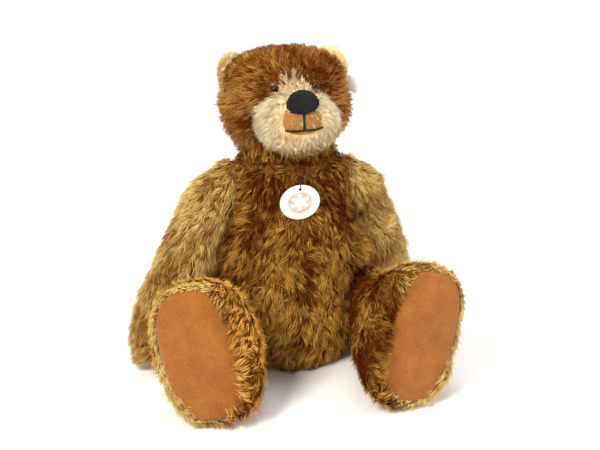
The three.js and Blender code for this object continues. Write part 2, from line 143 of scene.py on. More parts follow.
def operator(operation: str, flipped: bool = False) -> Callable[["Value", Any], "Value"]:
    """Makes an arithmetic method for shader values.

    Args:
        operation: Operation of the maths node.
        flipped: Whether the other term comes first.

    Returns:
        The method.
    """

    def method(self: "Value", other: Any) -> "Value":
        """Joins two terms. Args: other: the other term. Returns: the result."""
        return self.math(operation, *((other, self) if flipped else (self, other)))

    return method


@dataclass(frozen=True)
class Value:
    """A shader socket that arithmetic can be written with.

    Args:
        graph: Tree that it is in.
        socket: An output.
    """

    graph: "Graph"
    socket: bpy.types.NodeSocket

    __add__ = operator("ADD")
    __radd__ = operator("ADD", flipped=True)
    __sub__ = operator("SUBTRACT")
    __rsub__ = operator("SUBTRACT", flipped=True)
    __mul__ = operator("MULTIPLY")
    __rmul__ = operator("MULTIPLY", flipped=True)
    __truediv__ = operator("DIVIDE")
    __rtruediv__ = operator("DIVIDE", flipped=True)
    __pow__ = operator("POWER")

    def math(self, operation: str, *terms: Any) -> "Value":
        """Adds a maths node. Args: operation: what it does. terms: its inputs. Returns: its result."""
        return self.graph.read("ShaderNodeMath", {"operation": operation}, dict(enumerate(terms)))

    def wave(self) -> "Value":
        """Takes the sine. Returns: a value from -1 to 1."""
        return self.math("SINE", self)

    def size(self) -> "Value":
        """Drops the sign. Returns: the size of the value."""
        return self.math("ABSOLUTE", self)

    def ease(self, low: float, high: float) -> "Value":
        """Rises smoothly. Args: low: where it is 0. high: where it is 1. Returns: 0 to 1."""
        settings = {"interpolation_type": "SMOOTHSTEP"}
        return self.graph.read("ShaderNodeMapRange", settings, {0: self, 1: low, 2: high})


Term = Value | float | tuple


class Graph:
    """The node tree of one material."""

    def __init__(self, name: str) -> None:
        """Starts a material with one main shader. Args: name: name of the material."""
        self.material = bpy.data.materials.new(name)
        self.material.use_nodes = True
        self.tree = self.material.node_tree
        self.shader = self.tree.nodes["Principled BSDF"]

    def read(self, kind: str, settings: dict[str, Any], inputs: dict[Any, Term], output: Any = 0) -> Value:
        """Adds a node and wraps one of its outputs.

        Args:
            kind: Type of the node.
            settings: Its properties.
            inputs: Its inputs, by name or number.
            output: Which output, by name or number.

        Returns:
            That output.
        """
        node = self.tree.nodes.new(kind)
        for name, value in settings.items():
            setattr(node, name, value)
        for key, term in inputs.items():
            self.feed(node.inputs[key], term)
        return Value(self, node.outputs[output])

    def feed(self, socket: bpy.types.NodeSocket, term: Term) -> None:
        """Links or sets an input. Args: socket: the input. term: what goes in."""
        if isinstance(term, Value):
            self.tree.links.new(term.socket, socket)
        else:
            colour = isinstance(term, tuple) and socket.type == "RGBA"
            socket.default_value = (*term, 1.0) if colour else term

    def shade(self, **inputs: Term) -> None:
        """Sets inputs of the main shader. Args: inputs: terms by name, with _ for a space."""
        for name, term in inputs.items():
            self.feed(self.shader.inputs[name.replace("_", " ")], term)

    def place(self) -> Value:
        """Reads the object coordinates. Returns: a place in the row frame."""
        return self.read("ShaderNodeTexCoord", {}, {}, "Object")

    def axis(self, place: Value, index: int) -> Value:
        """Takes one part of a place. Args: place: a vector. index: 0, 1 or 2. Returns: that part."""
        return self.read("ShaderNodeSeparateXYZ", {}, {0: place}, index)

    def attribute(self, name: str) -> Value:
        """Reads a number kept on the mesh. Args: name: the attribute's. Returns: its value."""
        return self.read("ShaderNodeAttribute", {"attribute_name": name}, {}, "Fac")

    def speckle(self, size: float, detail: float = 2.0) -> Value:
        """Reads noise. Args: size: of its grains. detail: octaves of finer ones. Returns: 0 to 1."""
        inputs = {"Vector": self.place(), "Scale": 1 / size, "Detail": detail, "Roughness": 0.6}
        return self.read("ShaderNodeTexNoise", {}, inputs)

    def threads(self, along: Value, pitch: float, drift: Term = 0.0) -> Value:
        """Reads threads laid side by side.

        Args:
            along: Distance across them.
            pitch: From one thread to the next.
            drift: How far they stray, in radians.

        Returns:
            -1 between threads and 1 on them.
        """
        return (along * (math.tau / pitch) + drift).wave()

    def blend(self, share: Term, first: Term, second: Term) -> Value:
        """Mixes two colours. Args: share: of the second. first, second: colours. Returns: the mix."""
        return self.read("ShaderNodeMix", {"data_type": "RGBA"}, {0: share, 6: first, 7: second}, 2)

    def relief(self, height: Term, depth: float) -> Value:
        """Makes a normal. Args: height: about 0 to 1. depth: how deep 1 is. Returns: the normal."""
        return self.read("ShaderNodeBump", {}, {"Strength": 1.0, "Distance": depth, "Height": height})


# ---------------------------------------------------------------- finishes


@dataclass(frozen=True)
class Finish:
    """What a surface is made of.

    Args:
        name: Name of the material.
        slot: The record's slot for it; not used.
        tones: Its dark and light colours.
    """

    name: str
    slot: str
    tones: Tones
    _made: ClassVar[dict[str, bpy.types.Material]] = {}

    def paint(self, graph: Graph) -> None:
        """Fills in the material. Args: graph: its empty tree."""
        raise NotImplementedError

    def material(self) -> bpy.types.Material:
        """Makes the material once. Returns: the material."""
        if self.name not in self._made:
            graph = Graph(self.name)
            self.paint(graph)
            self._made[self.name] = graph.material
        return self._made[self.name]

    def wear(self, piece: bpy.types.Object) -> None:
        """Puts the finish on a piece. Args: piece: what wears it."""
        piece.data.materials.clear()
        piece.data.materials.append(self.material())


@dataclass(frozen=True)
class Mohair(Finish):
    """Pile whose colour runs from its roots to its tips, which have the tones.

    Args:
        root: Dark and light colours of the roots.
    """

    root: Tones

    def paint(self, graph: Graph) -> None:
        """Fills in the material. Args: graph: its empty tree."""
        along = graph.attribute("along").ease(0.02, 0.86)
        shade = graph.attribute("shade")
        root, tip = (graph.blend(shade, *pair) for pair in (self.root, self.tones))
        graph.shade(Base_Color=graph.blend(along, root, tip), Roughness=0.5, Specular_IOR_Level=0.03)


@dataclass(frozen=True)
class Backing(Finish):
    """Woven cloth under the pile, with a patch of short velvet where the pile is clipped away.

    Args:
        velvet: Colours of the clipped patch.
        cream: Colours of the threads under pale pile.
    """

    velvet: Tones = (srgb(118, 76, 36), srgb(178, 130, 80))
    cream: Tones = (srgb(194, 154, 102), srgb(236, 204, 152))

    def paint(self, graph: Graph) -> None:
        """Fills in the material. Args: graph: its empty tree."""
        grain = graph.speckle(0.9 * MM, 3.0)
        coarse = graph.speckle(4 * MM)
        drawn = graph.read("ShaderNodeMapping", {}, {0: graph.place(), "Scale": (1.0, 1.0, 0.22)})
        inputs = {"Vector": drawn, "Scale": 1 / (1.3 * MM), "Detail": 3.0}
        streak = graph.read("ShaderNodeTexNoise", {}, inputs).ease(0.3, 0.7)
        patch = graph.attribute("clipped").ease(0.35, 0.65)
        pale = graph.attribute("pale").ease(0.2, 0.6)
        tone = streak * 0.8 + coarse * 0.2
        cloth = graph.blend(pale, graph.blend(tone, *self.tones), graph.blend(tone, *self.cream))
        nap = graph.blend((grain * 0.75 + coarse * 0.25).ease(0.3, 0.7), *self.velvet)
        graph.shade(
            Base_Color=graph.blend(patch, cloth, nap),
            Roughness=0.95,
            Specular_IOR_Level=0.08,
            Normal=graph.relief(grain * 0.4 + streak * 0.6, 0.6 * MM),
        )


@dataclass(frozen=True)
class Felt(Finish):
    """Matted wool, with fine cross threads, loose fibres and faint wear."""

    def paint(self, graph: Graph) -> None:
        """Fills in the material. Args: graph: its empty tree."""
        place = graph.place()
        across = graph.threads(graph.axis(place, 0), 1.15 * MM, graph.speckle(5 * MM) * 5)
        upward = graph.threads(graph.axis(place, 2), 1.3 * MM, graph.speckle(6 * MM) * 4)
        weave = (upward * 0.7 + across * 0.3) * 0.5 + 0.5
        fibre = graph.speckle(0.7 * MM, 4.0)
        worn = graph.speckle(16 * MM, 3.0)
        tone = (fibre + weave * 0.14 + worn * 0.5 - 0.33).ease(0.1, 0.9)
        graph.shade(
            Base_Color=graph.blend(tone, *self.tones),
            Roughness=0.9,
            Sheen_Weight=0.2,
            Specular_IOR_Level=0.2,
            Normal=graph.relief(weave * 0.18 + fibre, 0.45 * MM),
        )


@dataclass(frozen=True)
class Thread(Finish):
    """Twisted embroidery thread."""

    def paint(self, graph: Graph) -> None:
        """Fills in the material. Args: graph: its empty tree."""
        place = graph.place()
        slant = graph.axis(place, 2) + graph.axis(place, 0) * 0.6
        strand = graph.threads(slant, 0.9 * MM) * 0.5 + 0.5
        fluff = graph.speckle(0.5 * MM)
        graph.shade(
            Base_Color=graph.blend(strand * 0.6 + fluff * 0.4, *self.tones),
            Roughness=0.5 + fluff * 0.2,
            Specular_IOR_Level=0.3,
            Normal=graph.relief(strand * 0.7 + fluff * 0.3, 0.2 * MM),
        )


@dataclass(frozen=True)
class EyeGlass(Finish):
    """Dark glass with a black pupil behind a clear dome.

    Args:
        centre: Middle of the eye.
    """

    centre: tuple[float, float, float]

    def paint(self, graph: Graph) -> None:
        """Fills in the material. Args: graph: its empty tree."""
        place = graph.place()
        across = graph.axis(place, 0) - self.centre[0]
        upward = graph.axis(place, 2) - self.centre[2]
        away = (across * across + upward * upward) ** 0.5
        streak = graph.speckle(0.6 * MM) * 0.5 * MM
        ring = (away + streak).ease(2.2 * MM, 4.0 * MM)
        graph.shade(
            Base_Color=graph.blend(ring, *self.tones),
            Roughness=0.08,
            Specular_IOR_Level=0.14,
            Coat_Weight=0.12,
            Coat_Roughness=0.03,
        )


@dataclass(frozen=True)
class Card(Finish):
    """Coated card, with a plain ring and rosette printed inside its edge.

    Args:
        ink: Colours of the print.
    """

    ink: Tones

    def paint(self, graph: Graph) -> None:
        """Fills in the material. Args: graph: its empty tree."""
        spread = graph.read("ShaderNodeUVMap", {"uv_map": "Face"}, {})
        across, upward = graph.axis(spread, 0), graph.axis(spread, 1)
        away = (across * across + upward * upward) ** 0.5
        petals = (upward.math("ARCTAN2", upward, across) * 3.0).wave().size() * 0.34 + 0.16
        flower = (away - petals).ease(0.03, -0.03)
        inside = away.ease(0.63, 0.6)
        ring = (away - 0.68).size().ease(0.02, 0.008)
        fibre = graph.speckle(1.2 * MM, 3.0)
        ink = graph.blend(graph.speckle(5 * MM, 3.0).ease(0.4, 0.62), *self.ink)
        print_on = (inside * (1.0 - flower) * 0.85 + ring * 0.7) * fibre.ease(0.15, 0.5)
        graph.shade(
            Base_Color=graph.blend(print_on, graph.blend(fibre, *self.tones), ink),
            Roughness=0.5 + fibre * 0.2,
            Normal=graph.relief(fibre, 0.08 * MM),
        )


@dataclass(frozen=True)
class Tape(Finish):
    """Blank woven tape."""

    def paint(self, graph: Graph) -> None:
        """Fills in the material. Args: graph: its empty tree."""
        place = graph.place()
        warp, weft = (graph.threads(graph.axis(place, i), 0.7 * MM) for i in (0, 2))
        weave = warp * weft * 0.5 + 0.5
        soft = graph.speckle(3 * MM, 3.0)
        graph.shade(
            Base_Color=graph.blend(weave * 0.5 + soft * 0.5, *self.tones),
            Roughness=0.8,
            Normal=graph.relief(weave, 0.12 * MM),
        )


@dataclass(frozen=True)
class Pressed(Finish):
    """Hardboard of pressed fibres."""

    def paint(self, graph: Graph) -> None:
        """Fills in the material. Args: graph: its empty tree."""
        fibre = graph.speckle(1.5 * MM, 5.0)
        graph.shade(
            Base_Color=graph.blend(fibre.ease(0.3, 0.7), *self.tones),
            Roughness=0.85,
            Normal=graph.relief(fibre, 0.15 * MM),
        )


@dataclass(frozen=True)
class Steel(Finish):
    """Drawn and stamped steel, a little dull."""

    def paint(self, graph: Graph) -> None:
        """Fills in the material. Args: graph: its empty tree."""
        dull = graph.speckle(2.5 * MM, 4.0)
        graph.shade(
            Base_Color=graph.blend(dull, *self.tones),
            Metallic=1.0,
            Roughness=0.3 + dull * 0.25,
            Normal=graph.relief(graph.speckle(0.4 * MM), 0.03 * MM),
        )


@dataclass(frozen=True)
class StudioFloor(Finish):
    """Pale paper sweep."""

    def paint(self, graph: Graph) -> None:
        """Fills in the material. Args: graph: its empty tree."""
        graph.shade(Base_Color=self.tones[1], Roughness=0.6, Specular_IOR_Level=0.2)


CHESTNUT = Mohair(
    "chestnut_mohair",
    "brown_mohair",
    tones=(srgb(106, 43, 0), srgb(255, 194, 90)),
    root=(srgb(44, 12, 0), srgb(116, 56, 0)),
)
RUSSET = Mohair(
    "russet_mohair",
    "brown_mohair",
    tones=(srgb(122, 62, 10), srgb(244, 180, 94)),
    root=(srgb(66, 26, 2), srgb(122, 66, 14)),
)
FLAXEN = Mohair(
    "flaxen_mohair",
    "golden_mohair",
    tones=(srgb(204, 158, 94), srgb(255, 240, 188)),
    root=(srgb(146, 102, 52), srgb(204, 160, 98)),
)
GOLDEN = Mohair(
    "golden_mohair",
    "golden_mohair",
    tones=(srgb(160, 98, 24), srgb(255, 228, 142)),
    root=(srgb(108, 58, 10), srgb(176, 118, 42)),
)
CREAM = Mohair(
    "cream_mohair",
    "cream_mohair",
    tones=(srgb(188, 146, 90), srgb(255, 248, 208)),
    root=(srgb(134, 94, 50), srgb(222, 186, 128)),
)
VELVET = Mohair(
    "clipped_mohair",
    "cream_mohair",
    tones=(srgb(136, 92, 46), srgb(196, 148, 92)),
    root=(srgb(104, 64, 28), srgb(140, 96, 52)),
)
BROWN_CLOTH = Backing("brown_backing", "brown_mohair", (srgb(56, 26, 4), srgb(132, 82, 28)))
GOLDEN_CLOTH = Backing("golden_backing", "golden_mohair", (srgb(112, 66, 20), srgb(176, 122, 56)))
FELT = Felt("tan_felt", "tan_felt", (srgb(112, 60, 12), srgb(172, 106, 36)))
THREAD = Thread("black_thread", "black_thread", (srgb(2, 3, 4), srgb(15, 17, 18)))
IRIS = (srgb(8, 5, 3), srgb(64, 34, 14))
CARD = Card(
    "white_card",
    "white_card",
    tones=(srgb(238, 228, 214), srgb(252, 246, 238)),
    ink=(srgb(226, 138, 112), srgb(196, 182, 172)),
)
TAPE = Tape("white_tape", "white_tape", (srgb(222, 214, 204), srgb(250, 247, 242)))
HARDBOARD = Pressed("hardboard", "hardboard", (srgb(96, 66, 40), srgb(146, 108, 72)))
STEEL = Steel("bright_steel", "steel", (srgb(128, 128, 128), srgb(186, 188, 190)))
PAPER = srgb(248, 247, 245)
FLOOR = StudioFloor("paper_sweep", "white_card", (PAPER, PAPER))


# ---------------------------------------------------------------- meshes


def show(name: str, data: Any) -> bpy.types.Object:
    """Puts an object at the origin. Args: name: its name. data: its mesh, lamp or camera. Returns: it."""
    made = bpy.data.objects.new(name, data)
    bpy.context.scene.collection.objects.link(made)
    return made


def object_of(name: str, shape: bmesh.types.BMesh) -> bpy.types.Object:
    """Makes a smooth object. Args: name: its name. shape: its shape, which is freed. Returns: it."""
    mesh = bpy.data.meshes.new(name)
    bmesh.ops.recalc_face_normals(shape, faces=shape.faces)
    shape.to_mesh(mesh)
    shape.free()
    mesh.shade_smooth()
    return show(name, mesh)


def fit(
    piece: bpy.types.Object, finish: Finish, body: str, nodes: tuple[str, ...] = ()
) -> None:
    """Makes a new piece part of the bear.

    Args:
        piece: The piece, in place.
        finish: What it is made of.
        body: Body that it rides on.
        nodes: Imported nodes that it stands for.
    """
    finish.wear(piece)
    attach(piece, body)
    if nodes:
        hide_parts(*nodes)


def even(piece: bpy.types.Object, voxel: float) -> None:
    """Gives a piece even faces. Args: piece: the piece. voxel: their size."""
    remesh = piece.modifiers.new("Even", "REMESH")
    remesh.mode = "VOXEL"
    remesh.voxel_size = voxel


def settle(piece: bpy.types.Object) -> None:
    """Applies a piece's modifiers. Args: piece: the piece."""
    graph = bpy.context.evaluated_depsgraph_get()
    mesh = bpy.data.meshes.new_from_object(piece.evaluated_get(graph))
    piece.modifiers.clear()
    piece.data = mesh


def corners(mesh: bpy.types.Mesh, what: str = "co") -> Array:
    """Reads vertices. Args: mesh: theirs. what: "co" or "normal". Returns: one row a vertex."""
    rows = np.zeros(len(mesh.vertices) * 3)
    mesh.vertices.foreach_get(what, rows)
    return rows.reshape(-1, 3)


def move_corners(mesh: bpy.types.Mesh, places: Array) -> None:
    """Sets the vertices of a mesh. Args: mesh: the mesh. places: one row a vertex."""
    mesh.vertices.foreach_set("co", places.ravel())
    mesh.update()


def mark(mesh: bpy.types.Mesh, name: str, values: Array) -> None:
    """Keeps a number on each vertex. Args: mesh: the mesh. name: the attribute's. values: numbers."""
    made = mesh.attributes.new(name, "FLOAT", "POINT")
    made.data.foreach_set("value", values.astype(np.float32))


def made_verts(made: dict[str, Any]) -> list[bmesh.types.BMVert]:
    """Picks out new vertices. Args: made: what an operator made. Returns: its vertices."""
    return [g for g in made["geom"] if isinstance(g, bmesh.types.BMVert)]


def rims(shape: bmesh.types.BMesh) -> list[bmesh.types.BMEdge]:
    """Finds the open edges of a shape. Args: shape: the shape. Returns: its edges with one face."""
    return [e for e in shape.edges if e.is_boundary]


class Front:
    """Finds places on a piece as seen from ahead."""

    def __init__(self, piece: bpy.types.Object) -> None:
        """Makes the search tree. Args: piece: the finished piece."""
        self.tree = BVHTree.FromObject(piece, bpy.context.evaluated_depsgraph_get())

    def at(self, x: float, z: float) -> tuple[Vector | None, Vector | None]:
        """Finds a place. Args: x, z: where. Returns: it and the normal there, or None twice."""
        return self.tree.ray_cast(Vector((x, AHEAD, z)), Vector((0, 1, 0)))[:2]


@dataclass(frozen=True)
class Axle:
    """The axis of a disc joint.

    Args:
        centre: Where it crosses the joint face.
        way: Its direction.
        pocket: Radius of the room cut for its discs.
    """

    centre: Array
    way: Array
    pocket: float

    def reach(self, points: Array) -> tuple[Array, Array]:
        """Measures places. Args: points: rows of places. Returns: distances along and from the axis."""
        away = points - self.centre
        along = away @ self.way
        return along, np.linalg.norm(away - along[:, None] * self.way, axis=1)


def axles() -> dict[str, Axle]:
    """Reads the joints' axes. Returns: axles by the name of the joint."""
    made = {}
    for joint in frame["joints"]:
        stem = joint["name"].removesuffix("_turn")
        low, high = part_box(f"{stem}_limb_disc")
        way = unit(np.array(joint["axis"]))
        made[stem] = Axle(np.array(joint["pos_m"]), way, max(high - low) / 2 + 1.6 * MM)
    return made


AXLES = axles()
POCKET_DEPTH = 16 * MM


def bare_solid(nodes: tuple[str, ...], joints: tuple[str, ...]) -> bmesh.types.BMesh:
    """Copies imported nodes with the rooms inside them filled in.

    Args:
        nodes: Names of the nodes.
        joints: Joints whose rooms are in them.

    Returns:
        Closed shells.
    """
    shape = bmesh.new()
    for node in nodes:
        shape.from_mesh(frame["nodes"][node].data)
    bmesh.ops.remove_doubles(shape, verts=shape.verts, dist=0.01 * MM)
    places = np.array([v.co for v in shape.verts])
    inner = np.zeros(len(places), bool)
    for joint in joints:
        along, away = AXLES[joint].reach(places)
        inner |= (away < AXLES[joint].pocket) & (np.abs(along) < POCKET_DEPTH)
    doomed = [v for v, gone in zip(shape.verts, inner) if gone]
    bmesh.ops.delete(shape, geom=doomed, context="VERTS")
    bmesh.ops.holes_fill(shape, edges=rims(shape), sides=0)
    if rims(shape):
        bmesh.ops.triangle_fill(shape, use_beauty=True, use_dissolve=False, edges=rims(shape))
    loose = [v for v in shape.verts if not v.link_faces]
    bmesh.ops.delete(shape, geom=loose, context="VERTS")
    left = sum(not e.is_manifold for e in shape.edges)
    if left:
        LOG.warning("%s: %d open edges", nodes[0], left)
    bmesh.ops.triangulate(shape, faces=shape.faces)
    bmesh.ops.recalc_face_normals(shape, faces=shape.faces)
    return shape


PAD_WIDE = 31 * MM  # half the width of a foot pad
PAD_TALL = 58 * MM  # half its height
PAD_SQUARE = 2.7  # 2 for an oval and more for squarer corners
PAD_SHIFT = 3.6 * MM  # towards the other leg
PAD_RAISE = 0.6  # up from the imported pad, in millimetres


@dataclass(frozen=True)
class Sole:
    """Where a foot pad lies.

    Args:
        centre: Its middle.
        across: Direction of its width.
        upward: Direction of its length.
        ahead: Direction that it faces.
    """

    centre: Array
    across: Array
    upward: Array
    ahead: Array

    @classmethod
    def of(cls, side: str) -> "Sole":
        """Reads a packed foot pad. Args: side: "left" or "right". Returns: where it lies."""
        places = corners(frame["nodes"][f"{side}_foot_pad"].data)
        _, ways = np.linalg.eigh(np.cov(places.T))
        upward = ways[:, 2] * np.sign(ways[2, 2])
        ahead = -ways[:, 0] * np.sign(ways[1, 0])
        across = np.cross(upward, ahead)
        packed = (places.min(0) + places.max(0)) / 2
        centre = packed + across * INNER[side] * PAD_SHIFT + upward * PAD_RAISE * MM
        return cls(centre, across, upward, ahead)


class Neighbours:
    """Finds which places lie in or against other pieces."""

    _trees: ClassVar[dict[str, BVHTree]] = {}

    @classmethod
    def tree(cls, node: str) -> BVHTree:
        """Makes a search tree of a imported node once. Args: node: its name. Returns: the tree."""
        if node not in cls._trees:
            shape = bare_solid((node,), JOINTS)
            cls._trees[node] = BVHTree.FromBMesh(shape)
            shape.free()
        return cls._trees[node]

    @classmethod
    def covered(cls, points: Array, nodes: tuple[str, ...], margin: float) -> Array:
        """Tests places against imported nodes.

        Args:
            points: Rows of places.
            nodes: Names of the nodes.
            margin: How near counts as covered.

        Returns:
            True for each place that is covered.
        """
        hit = np.zeros(len(points), bool)
        for node in nodes:
            tree = cls.tree(node)
            for i in np.flatnonzero(~hit):
                place = Vector(points[i])
                near, normal, _, away = tree.find_nearest(place)
                hit[i] = away < margin or (place - near).dot(normal) < -0.9 * away
        return hit


LIMBS = ("left_arm", "right_arm", "left_leg", "right_leg")
JOINTS = tuple(AXLES)


# ---------------------------------------------------------------- pile


class Lock:
    """The shape that every lock of pile repeats: a slim spindle along Z, from 0 to 1."""

    WIDEST: ClassVar[float] = 0.42  # share of its length

    def __init__(self) -> None:
        """Makes the spindle."""
        shape = bmesh.new()
        bmesh.ops.create_cone(
            shape,
            cap_ends=True,
            cap_tris=False,
            segments=3,
            radius1=1.0,
            radius2=0.001,
            depth=1.0 - self.WIDEST,
        )
        bmesh.ops.translate(shape, verts=shape.verts, vec=(0, 0, (self.WIDEST + 1.0) / 2))
        bmesh.ops.remove_doubles(shape, verts=shape.verts, dist=0.01)
        foot = [f for f in shape.faces if abs(f.normal.z) > 0.9]
        for vert in bmesh.ops.poke(shape, faces=foot)["verts"]:
            vert.co = (0, 0, 0)
        bmesh.ops.triangulate(shape, faces=shape.faces)
        bmesh.ops.recalc_face_normals(shape, faces=shape.faces)
        shape.verts.index_update()
        self.corners = np.array([v.co for v in shape.verts])
        self.faces = np.array([[v.index for v in f.verts] for f in shape.faces])
        shape.free()


LOCK = Lock()


@dataclass(frozen=True)
class Pile:
    """How a coat of pile grows.

    Args:
        length: Usual length of a lock.
        width: Usual half width of a lock.
        lift: How steeply locks leave the cloth.
        lie: How much their tips stand off it.
        tuft: How far locks draw together, 0 to 1.
        per_tuft: Locks in a tuft.
        tousle: Spread of the tufts' directions, in radians.
        curl: Sideways wave, as a share of the length.
        bend: Spread of the tufts' sideways bend, in radians.
        mottle: Spread of the tufts' lightness.
    """

    length: float
    width: float = 0.29 * MM
    lift: float = 0.6
    lie: float = 0.06
    tuft: float = 0.5
    per_tuft: int = 7
    tousle: float = 0.24
    curl: float = 0.06
    bend: float = 0.35
    mottle: float = 0.26

    STRAYS: ClassVar[float] = 0.06  # share of the locks that are long and thin
    SUNK: ClassVar[float] = 0.6 * MM  # how deep the roots are
    CURLS: ClassVar[float] = 5.2  # sideways wave along a lock, in radians
    FLOOR: ClassVar[tuple[float, float]] = (0.2, 1.6)  # how low locks lie on the floor, in millimetres

    def grow(
        self,
        name: str,
        roots: Array,
        normals: Array,
        comb: Array,
        stand: Array,
        trim: Array,
        shade: Array,
        seed: int,
    ) -> bpy.types.Object:
        """Grows a coat.

        Args:
            name: Name of the object.
            roots: Where the locks leave the cloth.
            normals: The cloth's normals there.
            comb: Directions that the pile is combed in.
            stand: How much more steeply than usual it stands.
            trim: Share of the usual length left there.
            shade: How light each lock is, 0 to 1.
            seed: Seed for what is random.

        Returns:
            The coat.
        """
        rng = np.random.default_rng(seed)
        count = len(roots)
        tufts = rng.choice(count, max(1, count // self.per_tuft), replace=False)
        tree = KDTree(len(tufts))
        for i, index in enumerate(tufts):
            tree.insert(roots[index], i)
        tree.balance()
        home = np.array([tree.find(p)[1] for p in roots])
        lean = rng.normal(0, self.tousle, len(tufts))[home] + rng.normal(0, 0.16, count)
        comb = unit(comb - (comb * normals).sum(1, keepdims=True) * normals)
        side = np.cross(normals, comb)
        bend = rng.normal(0, self.bend, len(tufts))[home]
        tip = comb * np.cos(lean + bend)[:, None] + side * np.sin(lean + bend)[:, None]
        comb = comb * np.cos(lean - bend)[:, None] + side * np.sin(lean - bend)[:, None]
        rise = rng.normal(0, 0.3, len(tufts))[home] * 0.5 + rng.normal(0, 0.12, count) + stand
        start = unit(comb + (self.lift + rise)[:, None] * normals)
        end = unit(tip + (self.lie + 0.5 * rise)[:, None] * normals + rng.normal(0, 0.22, (count, 3)))
        stray = rng.random(count) < self.STRAYS
        ragged = np.clip(rng.normal(1, 0.17, count), 0.5, 1.5)
        long = self.length * trim * ragged * np.where(stray, 1.25, 1)
        thick = self.width * (0.45 + 0.55 * trim) * rng.uniform(0.7, 1.3, count) * np.where(stray, 0.6, 1)
        phase = rng.uniform(0, 2 * np.pi, len(tufts))[home] + rng.normal(0, 0.4, count)
        across = unit(np.cross(start, normals + 1e-6))
        sunk = roots - self.SUNK * normals

        def spine(t: float) -> Array:
            """Follows every lock. Args: t: share of its length. Returns: places."""
            path = sunk + long[:, None] * (start * (t - t * t / 2) + end * (t * t / 2))
            sway = self.curl * t * np.sin(phase + self.CURLS * t)
            path = path + (long * sway)[:, None] * across
            return path + self.tuft * t**1.4 * (path[tufts][home] - path)

        turned = rng.uniform(0, 2 * np.pi, count)
        cos, sin = np.cos(turned), np.sin(turned)
        rows = np.empty((count, len(LOCK.corners), 3))
        for i, (x, y, z) in enumerate(LOCK.corners):
            tangent = unit(start * (1 - z) + end * z)
            flat = unit(np.cross(tangent, normals))
            deep = np.cross(flat, tangent)
            wide = ((x * cos - y * sin) * thick * 1.25)[:, None] * flat
            tall = ((x * sin + y * cos) * thick * 0.8)[:, None] * deep
            rows[:, i] = spine(round(float(z), 4)) + wide + tall
        rows[:, :, 2] = np.maximum(rows[:, :, 2], rng.uniform(*self.FLOOR, (count, 1)) * MM)
        shade = shade + rng.normal(0, self.mottle, len(tufts))[home]
        return self.join(name, rows, np.clip(shade, 0, 1))

    def join(self, name: str, rows: Array, shade: Array) -> bpy.types.Object:
        """Joins the locks into one object.

        Args:
            name: Name of the object.
            rows: Places of each lock's corners.
            shade: How light each lock is.

        Returns:
            The object, with its colours' map.
        """
        count, each = rows.shape[:2]
        faces = (LOCK.faces[None] + each * np.arange(count)[:, None, None]).reshape(-1)
        mesh = bpy.data.meshes.new(name)
        mesh.vertices.add(count * each)
        mesh.vertices.foreach_set("co", rows.reshape(-1).astype(np.float32))
        mesh.loops.add(len(faces))
        mesh.loops.foreach_set("vertex_index", faces.astype(np.int32))
        mesh.polygons.add(len(faces) // 3)
        mesh.polygons.foreach_set("loop_start", np.arange(0, len(faces), 3, dtype=np.int32))
        mesh.update(calc_edges=True)
        along = np.tile(LOCK.corners[:, 2], count)
        tone = np.repeat(shade, each)
        mark(mesh, "along", along)
        mark(mesh, "shade", tone)
        apart = tone + np.tile(LOCK.corners[:, 0], count) * 0.006
        spread = np.stack([0.02 + 0.96 * np.clip(apart, 0, 1), 0.02 + 0.96 * along], 1)
        layer = mesh.uv_layers.new(name="OFBake", do_init=False)
        layer.uv.foreach_set("vector", spread[faces].astype(np.float32).ravel())
        mesh.shade_smooth()
        return show(name, mesh)


# ---------------------------------------------------------------- plush

NOSE_GROWTH = 1.15  # the stitches make the nose this much taller
EYE_OPENING = np.array([-1.6, 0, 1.5]) * MM  # from an eye to the middle of its bare spot


def eye_place(side: str) -> Array:
    """Finds where the pile leaves an eye bare. Args: side: "left" or "right". Returns: a place."""
    return middle(f"{side}_eye") + EYE_OPENING


class Part(Enum):
    """Which coat of a plush piece a place belongs to."""

    MAIN = "pile"
    PALE = "pale_pile"
    CLIPPED = "clipped_pile"
    RIM = "rim_pile"


@dataclass(frozen=True)
class Coat:
    """One coat of a plush piece.

    Args:
        part: Which places it covers.
        pile: How it grows.
        finish: What it is made of.
        count: How many locks it has.
    """

    part: Part
    pile: Pile
    finish: Mohair
    count: int


